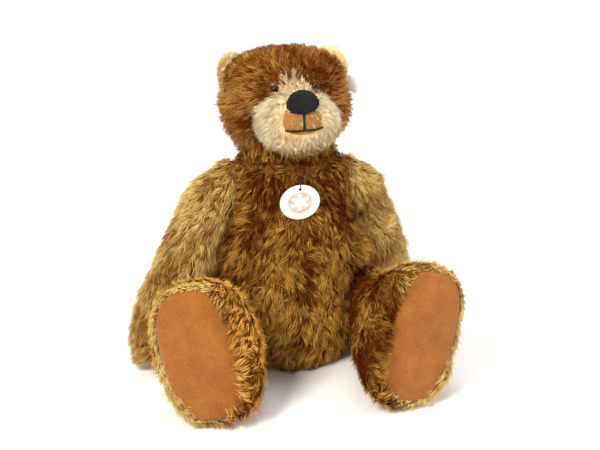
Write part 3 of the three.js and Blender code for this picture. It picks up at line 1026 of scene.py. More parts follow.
@dataclass
class Plush:
    """A stuffed mohair piece: bare cloth, with coats of pile on it.

    Args:
        name: Stem of its objects' names.
        body: Body that it rides on.
        nodes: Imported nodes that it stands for.
        joints: Joints that have rooms in those nodes.
        others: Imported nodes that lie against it.
        coats: Its coats.
        seed: Seed for what is random.
        cloth: Finish of the bare cloth.
        depth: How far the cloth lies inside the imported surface.
        voxel: Size of the cloth's faces.
    """

    name: str
    body: str
    nodes: tuple[str, ...]
    joints: tuple[str, ...]
    others: tuple[str, ...]
    coats: tuple[Coat, ...]
    seed: int
    cloth: Backing = BROWN_CLOTH
    depth: float = 1.8 * MM
    voxel: float = 5 * MM
    skin: bpy.types.Object = field(init=False)

    FILL: ClassVar[float] = 0.9  # how full the cloth is
    GAP: ClassVar[float] = 1.2 * MM  # bare edge next to other pieces
    GRAIN: ClassVar[float] = 0.16  # spread of the locks' lightness

    def build(self) -> None:
        """Makes the cloth as one closed body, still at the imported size."""
        shape = bare_solid(self.nodes, self.joints)
        self.shape(shape)
        self.skin = object_of(f"{self.name}_cloth", shape)
        even(self.skin, self.voxel)
        settle(self.skin)

    def shape(self, shape: bmesh.types.BMesh) -> None:
        """Changes the shells before they become one body. Args: shape: the shells."""

    def stuff(self) -> None:
        """Draws the cloth in to where the pile's roots are, and smooths it."""
        mesh = self.skin.data
        shape = bmesh.new()
        shape.from_mesh(mesh)
        every = {f"use_axis_{axis}": True for axis in "xyz"}
        for _ in range(2):
            bmesh.ops.smooth_vert(shape, verts=shape.verts, factor=0.5, **every)
        shape.to_mesh(mesh)
        shape.free()
        places = corners(mesh)
        inward = self.inset(places)[:, None] * corners(mesh, "normal")
        move_corners(mesh, places - inward)
        mesh.shade_smooth()
        mark(mesh, "clipped", self.clipped(places))
        mark(mesh, "pale", self.pale(places))
        fit(self.skin, self.cloth, self.body, self.nodes)

    def dress(self) -> None:
        """Grows every coat on the cloth."""
        rng = np.random.default_rng(self.seed)
        for coat in self.coats:
            roots, outward = self.sow(coat, rng)
            made = coat.pile.grow(
                f"{self.name}_{coat.part.value}",
                roots,
                outward,
                self.comb(roots),
                self.stand(roots),
                self.trim(coat.part, roots),
                self.shade(coat.part, roots, rng),
                self.seed,
            )
            fit(made, coat.finish, self.body)
            LOG.info("%s: %d locks", made.name, len(roots))

    def sow(self, coat: Coat, rng: np.random.Generator) -> tuple[Array, Array]:
        """Picks where a coat's locks grow.

        Args:
            coat: The coat.
            rng: For what is random.

        Returns:
            The roots, and the cloth's normals there.
        """
        mesh = self.skin.data
        mesh.calc_loop_triangles()
        triangles = np.zeros(len(mesh.loop_triangles) * 3, np.int32)
        mesh.loop_triangles.foreach_get("vertices", triangles)
        triangles = triangles.reshape(-1, 3)
        places, normals = corners(mesh), corners(mesh, "normal")
        a, b, c = (places[triangles[:, i]] for i in range(3))
        areas = np.linalg.norm(np.cross(b - a, c - a), axis=1)
        found, ways, total = [], [], 0
        while total < coat.count:
            draw = rng.choice(len(areas), 3 * coat.count, p=areas / areas.sum())
            share = rng.random((len(draw), 2))
            share = np.where(share.sum(1, keepdims=True) > 1, 1 - share, share)
            weights = np.column_stack([1 - share.sum(1), share])[:, :, None]
            roots = (places[triangles[draw]] * weights).sum(1)
            outward = unit((normals[triangles[draw]] * weights).sum(1))
            kept = self.belongs(coat.part, roots, rng) & (rng.random(len(draw)) < self.thickness(roots))
            roots, outward = roots[kept], outward[kept]
            surface = roots + outward * self.inset(roots)[:, None]
            clear = ~Neighbours.covered(surface, self.others, self.GAP)
            found.append(roots[clear])
            ways.append(outward[clear])
            total += int(clear.sum())
            if not clear.any():
                break
        return np.concatenate(found)[: coat.count], np.concatenate(ways)[: coat.count]

    def inset(self, points: Array) -> Array:
        """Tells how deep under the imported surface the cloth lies. Args: points: places. Returns: depths."""
        near = np.zeros(len(points))
        for joint in self.joints:
            along, away = AXLES[joint].reach(points)
            near = np.maximum(near, ease(24 * MM, 17 * MM, np.abs(along)) * ease(30 * MM, 22 * MM, away))
        return self.depth - (self.depth + 0.8 * MM) * near

    def clipped(self, points: Array) -> Array:
        """Marks where the pile is clipped away. Args: points: places. Returns: 0 to 1."""
        return np.zeros(len(points))

    def pale(self, points: Array) -> Array:
        """Marks where the pile is cream. Args: points: places. Returns: 0 to 1."""
        return np.zeros(len(points))

    def belongs(self, part: Part, points: Array, rng: np.random.Generator) -> Array:
        """Tells which places a coat covers.

        Args:
            part: The coat.
            points: Rows of places.
            rng: For ragged edges.

        Returns:
            True where it does.
        """
        return np.ones(len(points), bool)

    def thickness(self, points: Array) -> Array:
        """Tells how thickly the pile grows. Args: points: places. Returns: 0 to 1."""
        return np.ones(len(points))

    def comb(self, points: Array) -> Array:
        """Tells which way the pile is combed. Args: points: places. Returns: directions."""
        raise NotImplementedError

    def stand(self, points: Array) -> Array:
        """Tells how much more steeply the pile stands. Args: points: places. Returns: 0 or more."""
        return np.zeros(len(points))

    def swirl(self, points: Array) -> Array:
        """Reads how tousled the pile is, broadly and finely. Args: points: places. Returns: shifts."""
        return 0.75 * flow(points, 34 * MM, 3.1 + self.seed) + 0.6 * flow(points, 11 * MM, 7.9 + self.seed)

    def trim(self, part: Part, points: Array) -> Array:
        """Tells how long the pile is. Args: part: the coat. points: places. Returns: shares."""
        return np.ones(len(points))

    def shade(self, part: Part, points: Array, rng: np.random.Generator) -> Array:
        """Tells how light the locks are.

        Args:
            part: The coat.
            points: Rows of places.
            rng: For what is random.

        Returns:
            0 for dark to 1 for light.
        """
        wide = flow(points, 26 * MM, self.seed)[:, 0]
        near = flow(points, 7 * MM, self.seed + 5)[:, 1]
        return 0.49 + 0.8 * wide + 0.35 * near + rng.normal(0, self.GRAIN, len(points))


class Torso(Plush):
    """The pear-shaped body, combed down with a tousled belly."""

    def flank(self, points: Array, low: float, high: float) -> Array:
        """Marks the sides. Args: points: places. low, high: from the middle. Returns: 0 to 1."""
        return ease(low, high, np.abs(points[:, 0] - MIDLINE))

    def comb(self, points: Array) -> Array:
        """Combs down, and up at the collar. Args and returns: as in Plush."""
        away = points - AXLES["neck"].centre
        out = np.sign(points[:, :1] - MIDLINE) * np.array([[0.25, 0, 0]])
        down = np.array([0, 0, -1.0]) + out + 1.3 * self.swirl(points)
        collar = ease(174 * MM, 184 * MM, points[:, 2])[:, None]
        return down * (1 - collar) + (unit(away * (1, 1, 0)) * 0.4 + np.array([0, 0, 0.8])) * collar

    def stand(self, points: Array) -> Array:
        """Ruffles the flanks under the arms. Args and returns: as in Plush."""
        height = points[:, 2]
        flank = self.flank(points, 38 * MM, 56 * MM)
        return 0.9 * flank * ease(135 * MM, 115 * MM, height) * ease(60 * MM, 75 * MM, height)

    def shade(self, part: Part, points: Array, rng: np.random.Generator) -> Array:
        """Darkens the chest, paints shade on the flanks by the arms and at the foot of the belly, and paints
        a highlight on the bulge of the belly. Args and returns: as in Plush.
        """
        chest = ease(105 * MM, 165 * MM, points[:, 2])
        # painted shade at the foot of the belly, by the floor
        low = ease(40 * MM, 5 * MM, points[:, 2])
        # painted highlight on the bulge of the belly
        bulge = spot(points, np.array([14, -60, 78]) * MM, np.array([48, 60, 48]) * MM, 0.5)
        # painted shade on the flanks, between the body and the arms
        flank = self.flank(points, 36 * MM, 56 * MM)
        return super().shade(part, points, rng) - 0.26 * chest - 0.15 * low - 0.15 * flank + 0.26 * bulge

    def trim(self, part: Part, points: Array) -> Array:
        """Flattens the pile behind the tag and leaves it long by the limbs. Args and returns: as in Plush."""
        tag = spot(points, middle("chest_tag") + np.array([0, 0, 4 * MM]), 25 * MM, 0.3)
        flank = self.flank(points, 42 * MM, 60 * MM) * ease(125 * MM, 100 * MM, points[:, 2])
        return (1 - 0.5 * tag) * (1 + 0.4 * flank)


class Head(Plush):
    """The head, with its pale muzzle and the clipped patch round the mouth."""

    def shape(self, shape: bmesh.types.BMesh) -> None:
        """Seats the muzzle in the face. Args: shape: the shells."""
        low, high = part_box("muzzle")
        tree = Neighbours.tree("head")
        for vert in shape.verts:
            if all(low[i] - MM < vert.co[i] < high[i] + MM for i in range(3)):
                if 0.1 * MM < tree.find_nearest(vert.co)[3] < 1.5 * MM:
                    vert.co.y += 6 * MM

    def nose(self) -> Array:
        """Finds the nose. Returns: its middle."""
        low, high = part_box("nose")
        return middle("nose") + np.array([0, 0, (NOSE_GROWTH - 1) * (high.z - low.z) / 2])

    def eyes(self, points: Array, radius: float, soft: float) -> Array:
        """Marks both eyes. Args: points: places. radius, soft: as in spot. Returns: 0 to 1."""
        return np.maximum(*(spot(points, eye_place(side), radius, soft) for side in SIDES))

    def clipped(self, points: Array) -> Array:
        """Marks the patch under the nose. Args and returns: as in Plush."""
        mouth = middle("mouth_stitch")
        front = ease(-4 * MM, -12 * MM, points[:, 1])
        across = np.abs(points[:, 0] - mouth[0] + 0.8 * MM) / (16.5 * MM)
        upward = np.abs(points[:, 2] - mouth[2] - 2.5 * MM) / (10.5 * MM)
        return front * ease(1.2, 0.8, (across**3 + upward**3) ** (1 / 3))

    def bald(self, points: Array) -> Array:
        """Marks what the nose and the eyes cover. Args: points: places. Returns: 0 to 1."""
        nose = spot(points, self.nose(), (11.5 * MM, 11 * MM, 7.5 * MM), 0.1)
        return np.maximum(nose, self.eyes(points, 4.6 * MM, 0.2))

    def inset(self, points: Array) -> Array:
        """Keeps the cloth up under the trim. Args and returns: as in Plush."""
        held = np.maximum(self.clipped(points), spot(points, self.nose(), 20 * MM, 0.3))
        held = np.maximum(held, 0.75 * self.eyes(points, 13 * MM, 0.4))
        return self.depth + (0.7 * MM - self.depth) * held

    def pale(self, points: Array) -> Array:
        """Marks the cream of the muzzle and the blaze above it. Args and returns: as in Plush."""
        eyes = (eye_place("left") + eye_place("right")) / 2
        snout = middle("muzzle") + np.array([-1.5 * MM, -6 * MM, -1 * MM])
        round_snout = spot(points, snout, (43 * MM, 37 * MM, 30 * MM), 0.14)
        blaze = spot(points, eyes - np.array([0, 0, 6 * MM]), (15 * MM, 26 * MM, 11 * MM), 0.5)
        return np.maximum(round_snout, blaze)

    def belongs(self, part: Part, points: Array, rng: np.random.Generator) -> Array:
        """Splits the coats, with ragged edges. Args and returns: as in Plush."""
        ragged = 0.5 + 0.4 * flow(points, 6 * MM, 8.8)[:, 0] + rng.normal(0, 0.2, len(points))
        pale = self.pale(points) > np.clip(ragged, 0.04, 0.96)
        edge = 0.62 if part is Part.PALE else 0.5
        clip = self.clipped(points) > edge + rng.normal(0, 0.18, len(points))
        open_face = self.bald(points) < 0.5 + rng.normal(0, 0.1, len(points))
        if part is Part.CLIPPED:
            open_face[clip] &= ~Neighbours.covered(points[clip], ("mouth_stitch",), 2.2 * MM)
        return {Part.MAIN: ~pale & ~clip, Part.PALE: pale & ~clip, Part.CLIPPED: clip}[part] & open_face

    def thickness(self, points: Array) -> Array:
        """Thins the pile at the back. Args and returns: as in Plush."""
        return 0.72 + 0.28 * ease(60 * MM, 10 * MM, points[:, 1])

    def comb(self, points: Array) -> Array:
        """Combs away from the nose, and down at the jaw. Args and returns: as in Plush."""
        away = unit(points - self.nose() - np.array([0, 10 * MM, 0]))
        down = np.array([0, 0, -0.35]) * ease(215 * MM, 195 * MM, points[:, 2])[:, None]
        return away + down + 0.6 * self.swirl(points)

    def trim(self, part: Part, points: Array) -> Array:
        """Shortens the pile round the eyes, nose and mouth. Args and returns: as in Plush."""
        if part is Part.CLIPPED:
            return super().trim(part, points)
        short = np.maximum(
            0.08 * spot(points, self.nose(), 24 * MM, 0.4),
            0.4 * spot(points, middle("mouth_stitch"), 25 * MM, 0.3),
        )
        short = np.maximum(short, 0.35 * self.eyes(points, 9 * MM, 0.4))
        chin = ease(206 * MM, 196 * MM, points[:, 2]) * ease(40 * MM, 0, points[:, 1])
        wide = np.abs(points[:, 0] - MIDLINE)
        cheek = ease(28 * MM, 44 * MM, wide) * ease(246 * MM, 222 * MM, points[:, 2])
        return (1 - short) * (1 + 0.45 * chin + 0.7 * cheek)

    def shade(self, part: Part, points: Array, rng: np.random.Generator) -> Array:
        """Darkens the main pile a little, paints shade in the eye sockets, under the jaw and under the chin,
        and paints light on the cheek on the bear's right, the key lamp's side. Args and returns: as in Plush.
        """
        # the main pile is a little darker overall, with painted shade under the jaw
        dark = 0.22 + 0.15 * ease(215 * MM, 196 * MM, points[:, 2])
        # painted shade in the eye sockets
        dark = np.maximum(dark, 0.75 * self.eyes(points, 14 * MM, 0.5))
        # painted shade under the chin, on the pale pile
        under = 1.2 * ease(219 * MM, 199 * MM, points[:, 2])
        # painted light on the cheek on the bear's right, the key lamp's side
        cheek = 0.16 * ease(-10 * MM, -30 * MM, points[:, 0])
        return super().shade(part, points, rng) - (dark - cheek if part is Part.MAIN else under - 0.3)


@dataclass
class Limb(Plush):
    """A piece that comes in a left and a right.

    Args:
        side: "left" or "right".
    """

    side: str = "left"


class Arm(Limb):
    """An arm, combed down to its paw."""

    SLIM: ClassVar[dict[str, float]] = {"left": 3.2 * MM, "right": 1.6 * MM}  # drawn in on the outer side

    @property
    def axle(self) -> Axle:
        """The shoulder. Returns: its axle."""
        return AXLES[f"{self.side}_shoulder"]

    @property
    def pad(self) -> str:
        """The paw pad. Returns: its node."""
        return f"{self.side}_paw_pad"

    def out(self, points: Array) -> Array:
        """Measures how far out from the body places are. Args: points: places. Returns: distances."""
        return np.abs(self.axle.reach(points)[0])

    def comb(self, points: Array) -> Array:
        """Combs down the arm. Args and returns: as in Plush."""
        return unit(middle(self.pad) - self.axle.centre) + 0.8 * self.swirl(points)

    def stand(self, points: Array) -> Array:
        """Ruffles the side by the body. Args and returns: as in Plush."""
        return 0.8 * self.inner(points)

    def inner(self, points: Array) -> Array:
        """Marks the side by the body, under the shoulder. Args: points: places. Returns: 0 to 1."""
        drop = self.axle.centre[2] - points[:, 2]
        away = self.out(points) - 0.45 * drop
        return ease(22 * MM, 8 * MM, away) * ease(15 * MM, 45 * MM, drop) * ease(105 * MM, 85 * MM, drop)

    def high(self, points: Array) -> Array:
        """Marks the top of the shoulder. Args: points: places. Returns: 0 to 1."""
        return ease(0, 18 * MM, points[:, 2] - self.axle.centre[2])

    def inset(self, points: Array) -> Array:
        """Draws the shoulder in. Args and returns: as in Plush."""
        outer = ease(4 * MM, 20 * MM, self.out(points))
        return super().inset(points) + 3.2 * MM * self.high(points) * outer + self.SLIM[self.side] * outer

    def trim(self, part: Part, points: Array) -> Array:
        """Shortens the pile round the paw pad and on the shoulder. Args and returns: as in Plush."""
        pad = spot(points, middle(self.pad), 22 * MM, 0.4)
        return (1 - 0.5 * pad) * (1 - 0.25 * self.high(points)) * (1 + 0.5 * self.inner(points))

    def shade(self, part: Part, points: Array, rng: np.random.Generator) -> Array:
        """Lightens the arm and paints shade on its inner side, by the joint and against the body. Args and
        returns: as in Plush.
        """
        # painted shade by the shoulder joint
        joint = ease(14 * MM, 3 * MM, self.out(points))
        # painted shade on the inner side, against the body
        return super().shade(part, points, rng) + 0.2 - 0.45 * np.maximum(joint, self.inner(points))

    def belongs(self, part: Part, points: Array, rng: np.random.Generator) -> Array:
        """Leaves the pad bare. Args and returns: as in Plush."""
        return ~Neighbours.covered(points, (self.pad,), 3.5 * MM)


class Leg(Limb):
    """A leg, combed towards its foot, with a rim of pile round the pad."""

    # painted shade on each leg's inner side, by side; below zero it paints light
    INNER_PAINTED_SHADE: ClassVar[dict[str, float]] = {"left": 0.45, "right": -0.05}

    def beside(self, points: Array) -> tuple[Array, Array, Array]:
        """Measures places from the pad.

        Args:
            points: Rows of places.

        Returns:
            Each place's height above the pad's plane, its direction outwards in that plane, and its
            distance that way, 1 being the pad's edge.
        """
        sole = Sole.of(self.side)
        away = points - sole.centre
        height = away @ sole.ahead
        flat = away - height[:, None] * sole.ahead
        wide, tall = np.abs(flat @ sole.across) / PAD_WIDE, np.abs(flat @ sole.upward) / PAD_TALL
        return height, unit(flat), (wide**PAD_SQUARE + tall**PAD_SQUARE) ** (1 / PAD_SQUARE)

    def inward(self, out: Array) -> Array:
        """Tells which side of the pad faces the other leg. Args: out: directions. Returns: 0 to 1."""
        return ease(-0.1, 0.55, INNER[self.side] * out[:, 0])

    def inset(self, points: Array) -> Array:
        """Makes room for the pad. Args and returns: as in Plush."""
        height, _, share = self.beside(points)
        room = np.clip(height + 6 * MM, 0, 14 * MM) * (height > -20 * MM)
        return super().inset(points) + room * ease(1.06, 0.97, share)

    def belongs(self, part: Part, points: Array, rng: np.random.Generator) -> Array:
        """Leaves the pad bare and rims it. Args and returns: as in Plush."""
        height, out, share = self.beside(points)
        near = height > -12 * MM
        inward = self.inward(out)
        edge = 1.0 - 0.05 * inward + rng.normal(0, 0.03, len(points))
        rim = near & (share > edge) & (share < 1.22 + rng.normal(0, 0.04, len(points)))
        rim &= rng.random(len(points)) > inward
        return rim if part is Part.RIM else ~(near & (share < edge)) & ~rim

    def comb(self, points: Array) -> Array:
        """Combs to the foot and round the rim. Args and returns: as in Plush."""
        ahead = Sole.of(self.side).ahead
        height, out, share = self.beside(points)
        rim = (ease(-18 * MM, -6 * MM, height) * ease(1.45, 1.2, share))[:, None]
        inner = self.inward(out)[:, None]
        round_it = np.cross(ahead, out) * INNER[self.side]
        over = -out * 0.9 + np.array([0, 0, -0.5]) + ahead * 0.4
        down = np.array([0, 0, -0.8]) * ease(-6 * MM, -60 * MM, height)[:, None]
        leg = ahead + down + 0.75 * self.swirl(points)
        under = ease(0.2, 0.9, -out[:, 2])[:, None]
        roll = round_it + ahead * (0.25 + 0.9 * under) * (1 - inner)
        edge = roll * (1 - 0.7 * inner) + over * inner + 0.3 * flow(points, 14 * MM, 1.3)
        return leg * (1 - rim) + edge * rim

    def trim(self, part: Part, points: Array) -> Array:
        """Shortens the pile at the outer rim and over the toes. Args and returns: as in Plush."""
        height, out, _ = self.beside(points)
        foot = ease(-22 * MM, -6 * MM, height)
        under = ease(0.2, 0.9, -out[:, 2])
        toes = ease(0.4, 0.9, out[:, 2]) * ease(-45 * MM, -15 * MM, height)
        return 1 - 0.35 * foot * (1 - 0.75 * self.inward(out)) * (1 - under) - 0.2 * toes

    def shade(self, part: Part, points: Array, rng: np.random.Generator) -> Array:
        """Lightens the foot, paints shade on the inner side of the left leg and paints a little light on the
        inner side of the right leg. Args and returns: as in Plush.
        """
        height, out, _ = self.beside(points)
        # painted shade on the inner side of the main pile
        inner = self.inward(out) * self.INNER_PAINTED_SHADE[self.side] * (part is Part.MAIN)
        foot = 0.22 * ease(-70 * MM, -5 * MM, height)
        return super().shade(part, points, rng) + foot + 0.15 * (part is Part.RIM) - inner


class Ear(Limb):
    """A dished ear, combed out to its rim."""

    @property
    def centre(self) -> Array:
        """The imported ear. Returns: its middle."""
        return middle(f"{self.side}_ear")

    def shape(self, shape: bmesh.types.BMesh) -> None:
        """Sets the ear into the head. Args: shape: the shell."""
        inward = Vector(unit(middle("head") - self.centre))
        bmesh.ops.translate(shape, verts=shape.verts, vec=inward * 3 * MM)

    def comb(self, points: Array) -> Array:
        """Combs out to the rim. Args and returns: as in Plush."""
        return unit(points - self.centre) + 0.3 * flow(points, 15 * MM, 2.2)

    def trim(self, part: Part, points: Array) -> Array:
        """Shortens the pile in the dish. Args and returns: as in Plush."""
        return 1 - 0.45 * spot(points, self.centre - np.array([0, 5 * MM, 0]), 11 * MM, 0.4)

    def shade(self, part: Part, points: Array, rng: np.random.Generator) -> Array:
        """Lightens the rim. Args and returns: as in Plush."""
        rim = np.linalg.norm(points - self.centre, axis=1)
        return super().shade(part, points, rng) + 0.35 * ease(7 * MM, 14 * MM, rim) - 0.05


@dataclass
class Stuffing:
    """Fills the cloth of the plush, so that it bulges a little between its seams.

    Args:
        pieces: Plush whose cloth is made.
    """

    pieces: list[Plush]

    FRAMES: ClassVar[int] = 20
    MOST: ClassVar[float] = 2.5 * MM  # how far a vertex may move

    def press(self) -> None:
        """Runs the cloth under pressure, and keeps each vertex near where it was."""
        before = [corners(p.skin.data) for p in self.pieces]
        for piece in self.pieces:
            cloth = piece.skin.modifiers.new("Fill", "CLOTH")
            cloth.settings.use_pressure = True
            cloth.settings.uniform_pressure_force = 4
            cloth.settings.effector_weights.gravity = 0
            cloth.settings.quality = 4
            cloth.point_cache.frame_start = 1
            cloth.point_cache.frame_end = self.FRAMES
        for moment in range(1, self.FRAMES + 1):
            bpy.context.scene.frame_set(moment)
        for piece, start in zip(self.pieces, before):
            settle(piece.skin)
            moved = corners(piece.skin.data) - start
            far = np.linalg.norm(moved, axis=1, keepdims=True)
            move_corners(piece.skin.data, start + moved * np.minimum(1, self.MOST / np.maximum(far, 1e-9)))
        bpy.context.scene.frame_set(1)


# ---------------------------------------------------------------- trim


@dataclass
class FootPad:
    """A felt sole, padded and drawn in at its edge.

    Args:
        side: "left" or "right".
        droop: How far its inner edge turns back.
        dome: How far its middle stands up.
        sunk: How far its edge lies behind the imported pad's middle.
        deep: How far its sides run back into the pile.
    """

    side: str
    droop: float = 2 * MM
    dome: float = 2.4 * MM
    sunk: float = 1.4 * MM
    deep: float = 9 * MM

    def build(self) -> None:
        """Rounds a grid into a low dome with deep edges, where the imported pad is."""
        sole = Sole.of(self.side)
        turn = Matrix((sole.across, sole.upward, sole.ahead)).transposed().to_4x4()
        shape = bmesh.new()
        bmesh.ops.create_grid(shape, x_segments=20, y_segments=36, size=1.0)
        for vert in shape.verts:
            x, y = vert.co.x, vert.co.y
            ring = max(abs(x), abs(y))
            grown = ring / max((abs(x) ** PAD_SQUARE + abs(y) ** PAD_SQUARE) ** (1 / PAD_SQUARE), 1e-9)
            height = self.dome * (1 - ring**4) - self.sunk - self.droop * max(0, x * INNER[self.side]) ** 3
            vert.co = (x * grown * PAD_WIDE, y * grown * PAD_TALL, height)
        back = made_verts(bmesh.ops.extrude_edge_only(shape, edges=rims(shape)))
        bmesh.ops.translate(shape, verts=back, vec=(0, 0, -self.deep))
        bmesh.ops.holes_fill(shape, edges=rims(shape), sides=0)
        place = Matrix.Translation(Vector(sole.centre)) @ turn
        bmesh.ops.transform(shape, matrix=place, verts=shape.verts)
        piece = object_of(f"{self.side}_felt_sole", shape)
        fit(piece, FELT, f"{self.side}_leg", (f"{self.side}_foot_pad",))
        LOG.info("%s: domed felt", piece.name)


def tube(shape: bmesh.types.BMesh, path: list[Vector], radius: float, sides: int) -> None:
    """Adds a closed round strand along a path.

    Args:
        shape: Where it goes.
        path: Places along its middle.
        radius: Its radius.
        sides: Faces round it.
    """
    last = len(path) - 1
    ways = [(path[min(i + 1, last)] - path[max(i - 1, 0)]).normalized() for i in range(len(path))]
    turn = ways[0].to_track_quat("Z", "X").to_matrix().to_4x4()
    start = Matrix.Translation(path[0]) @ turn
    ring = bmesh.ops.create_circle(shape, cap_ends=True, segments=sides, radius=radius, matrix=start)["verts"]
    face = ring[0].link_faces[0]
    for i in range(1, len(path)):
        made = bmesh.ops.extrude_face_region(shape, geom=[face])
        if i > 1:
            bmesh.ops.delete(shape, geom=[face], context="FACES_ONLY")
        bend = ways[i - 1].rotation_difference(ways[i]).to_matrix().to_4x4()
        about = Matrix.Translation(path[i]) @ bend @ Matrix.Translation(-path[i - 1])
        bmesh.ops.transform(shape, matrix=about, verts=made_verts(made))
        face = next(g for g in made["geom"] if isinstance(g, bmesh.types.BMFace))


@dataclass
class Nose:
    """A padded nose, covered with upright satin stitches.

    Args:
        strands: How many stitches cross it.
        thick: Half width of a stitch.
        proud: Least and greatest height of a stitch on the padding, in millimetres.
    """

    strands: int = 17
    thick: float = 0.95 * MM
    proud: tuple[float, float] = (0.05, 0.25)

    def build(self) -> None:
        """Makes the padding and lays the stitches over it."""
        shape = bare_solid(("nose",), ())
        foot = Matrix.Translation(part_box("nose")[0])
        taller = foot @ Matrix.Diagonal((1, 1, NOSE_GROWTH, 1)) @ foot.inverted()
        bmesh.ops.transform(shape, matrix=taller, verts=shape.verts)
        padding = object_of("nose_padding", shape)
        even(padding, 1.1 * MM)
        padding.modifiers.new("Soft", "SMOOTH").iterations = 5
        settle(padding)
        padding.data.shade_smooth()
        fit(padding, THREAD, "head", ("nose",))
        self.stitch(Front(padding))

    def stitch(self, padding: Front) -> None:
        """Lays stitches from the top of the padding to its foot. Args: padding: the padding."""
        low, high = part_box("nose")
        rng = np.random.default_rng(4)
        shape = bmesh.new()
        for i in range(self.strands):
            x = low.x + (high.x - low.x) * (i + 0.5) / self.strands
            path = []
            for z in np.linspace(low.z - 3 * MM, high.z + 5 * MM, 52):
                hit, normal = padding.at(x, z)
                if hit is not None:
                    path.append(hit + normal * rng.uniform(*self.proud) * MM)
            if len(path) > 4:
                picks = np.linspace(0, len(path) - 1, 9).round().astype(int)
                tube(shape, [path[k] for k in picks], self.thick, 5)
        fit(object_of("nose_stitches", shape), THREAD, "head")
        LOG.info("nose: %d stitches", self.strands)


@dataclass
class Mouth:
    """The stitched mouth, one thread down from the nose and one across.

    Args:
        face: Cloth that it is sewn into.
        thick: Half width of the thread.
        proud: How high its middle lies on the cloth, in millimetres.
        smile: How far the line dips between its middle and its ends.
    """

    face: Front
    thick: float = 0.85 * MM
    proud: float = 1.1
    smile: float = 1.6 * MM

    def build(self) -> None:
        """Lays both threads on the cloth."""
        low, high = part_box("mouth_stitch")
        line = low.z + 1.2 * MM
        centre, half = (low.x + high.x) / 2, (high.x - low.x) / 2
        heights = np.linspace(middle("nose")[2] - 6 * MM, line, 7)
        down = [(centre, z) for z in heights]
        across = [
            (centre + half * t, line - self.smile * (abs(t) ** 0.7 - t * t * 1.1))
            for t in np.linspace(-1, 1, 15)
        ]
        shape = bmesh.new()
        for thread in (down, across):
            found = [self.face.at(x, z) for x, z in thread]
            tube(shape, [hit + normal * self.proud * MM for hit, normal in found], self.thick, 7)
        fit(object_of("mouth_thread", shape), THREAD, "head", ("mouth_stitch",))
        LOG.info("mouth: thread")


@dataclass
class Eye:
    """A small glass eye.

    Args:
        side: "left" or "right".
        face: Cloth that it is let into.
        radius: Its radius.
        sunk: How far its middle lies under the cloth, in millimetres.
    """

    side: str
    face: Front
    radius: float = 4.2 * MM
    sunk: float = 0.7

    def build(self) -> None:
        """Makes the glass ball, let into the cloth."""
        node = f"{self.side}_eye"
        x, _, z = middle(node)
        hit, normal = self.face.at(x, z)
        centre = hit - normal * self.sunk * MM
        shape = bmesh.new()
        place = Matrix.Translation(centre)
        bmesh.ops.create_uvsphere(shape, u_segments=32, v_segments=20, radius=self.radius, matrix=place)
        piece = object_of(f"{self.side}_glass_eye", shape)
        glass = EyeGlass(f"{self.side}_eye_glass", "eye_glass", IRIS, centre=tuple(centre))
        fit(piece, glass, "head", (node,))
        LOG.info("%s: glass", piece.name)


@dataclass
class SwingTag:
    """A round card on a loop of thread at the chest.

    Args:
        radius: Its radius.
        thick: Its thickness.
        hole: Radius of its hole.
        lean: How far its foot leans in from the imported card, in degrees.
    """

    radius: float = 17 * MM
    thick: float = 0.8 * MM
    hole: float = 1.4 * MM
    lean: float = 4.0

    def build(self) -> None:
        """Cuts the card, softens its edges and maps its face."""
        mesh = frame["nodes"]["chest_tag"].data
        ahead = Vector(max(mesh.polygons, key=lambda f: f.area * (f.normal.y < -0.5)).normal)
        upward = (Vector((0, 0, 1)) - ahead.z * ahead).normalized()
        turn = Matrix((upward.cross(ahead), upward, ahead)).transposed().to_4x4()
        lean = Matrix.Rotation(math.radians(self.lean), 4, "X")
        seat = Matrix.Translation(Vector(middle("chest_tag")) - ahead * self.thick / 2) @ turn @ lean
        shape = bmesh.new()
        bmesh.ops.create_circle(shape, segments=72, radius=self.radius)
        hole = Matrix.Translation((0, self.radius - 3 * self.hole, 0))
        bmesh.ops.create_circle(shape, segments=20, radius=self.hole, matrix=hole)
        bmesh.ops.triangle_fill(shape, use_beauty=True, use_dissolve=False, edges=shape.edges)
        face = made_verts(bmesh.ops.extrude_face_region(shape, geom=shape.faces))
        bmesh.ops.translate(shape, verts=face, vec=(0, 0, self.thick))
        sharp = [e for e in shape.edges if len(e.link_faces) == 2 and e.calc_face_angle(0) > 1]
        bmesh.ops.bevel(
            shape, geom=sharp, offset=0.18 * MM, segments=2, profile=0.5, affect="EDGES", material=-1
        )
        layer = shape.loops.layers.uv.new("Face")
        for found in shape.faces:
            for loop in found.loops:
                loop[layer].uv = (loop.vert.co.x / self.radius, loop.vert.co.y / self.radius)
        bmesh.ops.transform(shape, matrix=seat, verts=shape.verts)
        fit(object_of("swing_tag", shape), CARD, "torso", ("chest_tag",))
        LOG.info("swing_tag: card")


@dataclass
class Kept:
    """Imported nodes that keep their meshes.

    Args:
        ends: How their names end.
        finish: What they are made of.
        smooth: Whether they are rounded.
        edge: Width of their softened edges.
    """

    ends: str
    finish: Finish
    smooth: bool = False
    edge: float = 0.0

    def build(self) -> None:
        """Dresses every such node."""
        for name, piece in frame["nodes"].items():
            if name.endswith(self.ends):
                self.finish.wear(piece)
                if self.smooth:
                    piece.data.shade_smooth()
                if self.edge:
                    soft = piece.modifiers.new("Soft", "BEVEL")
                    soft.width = self.edge
                    soft.segments = 2
                LOG.info("%s: %s", name, self.finish.name)


# ---------------------------------------------------------------- studio


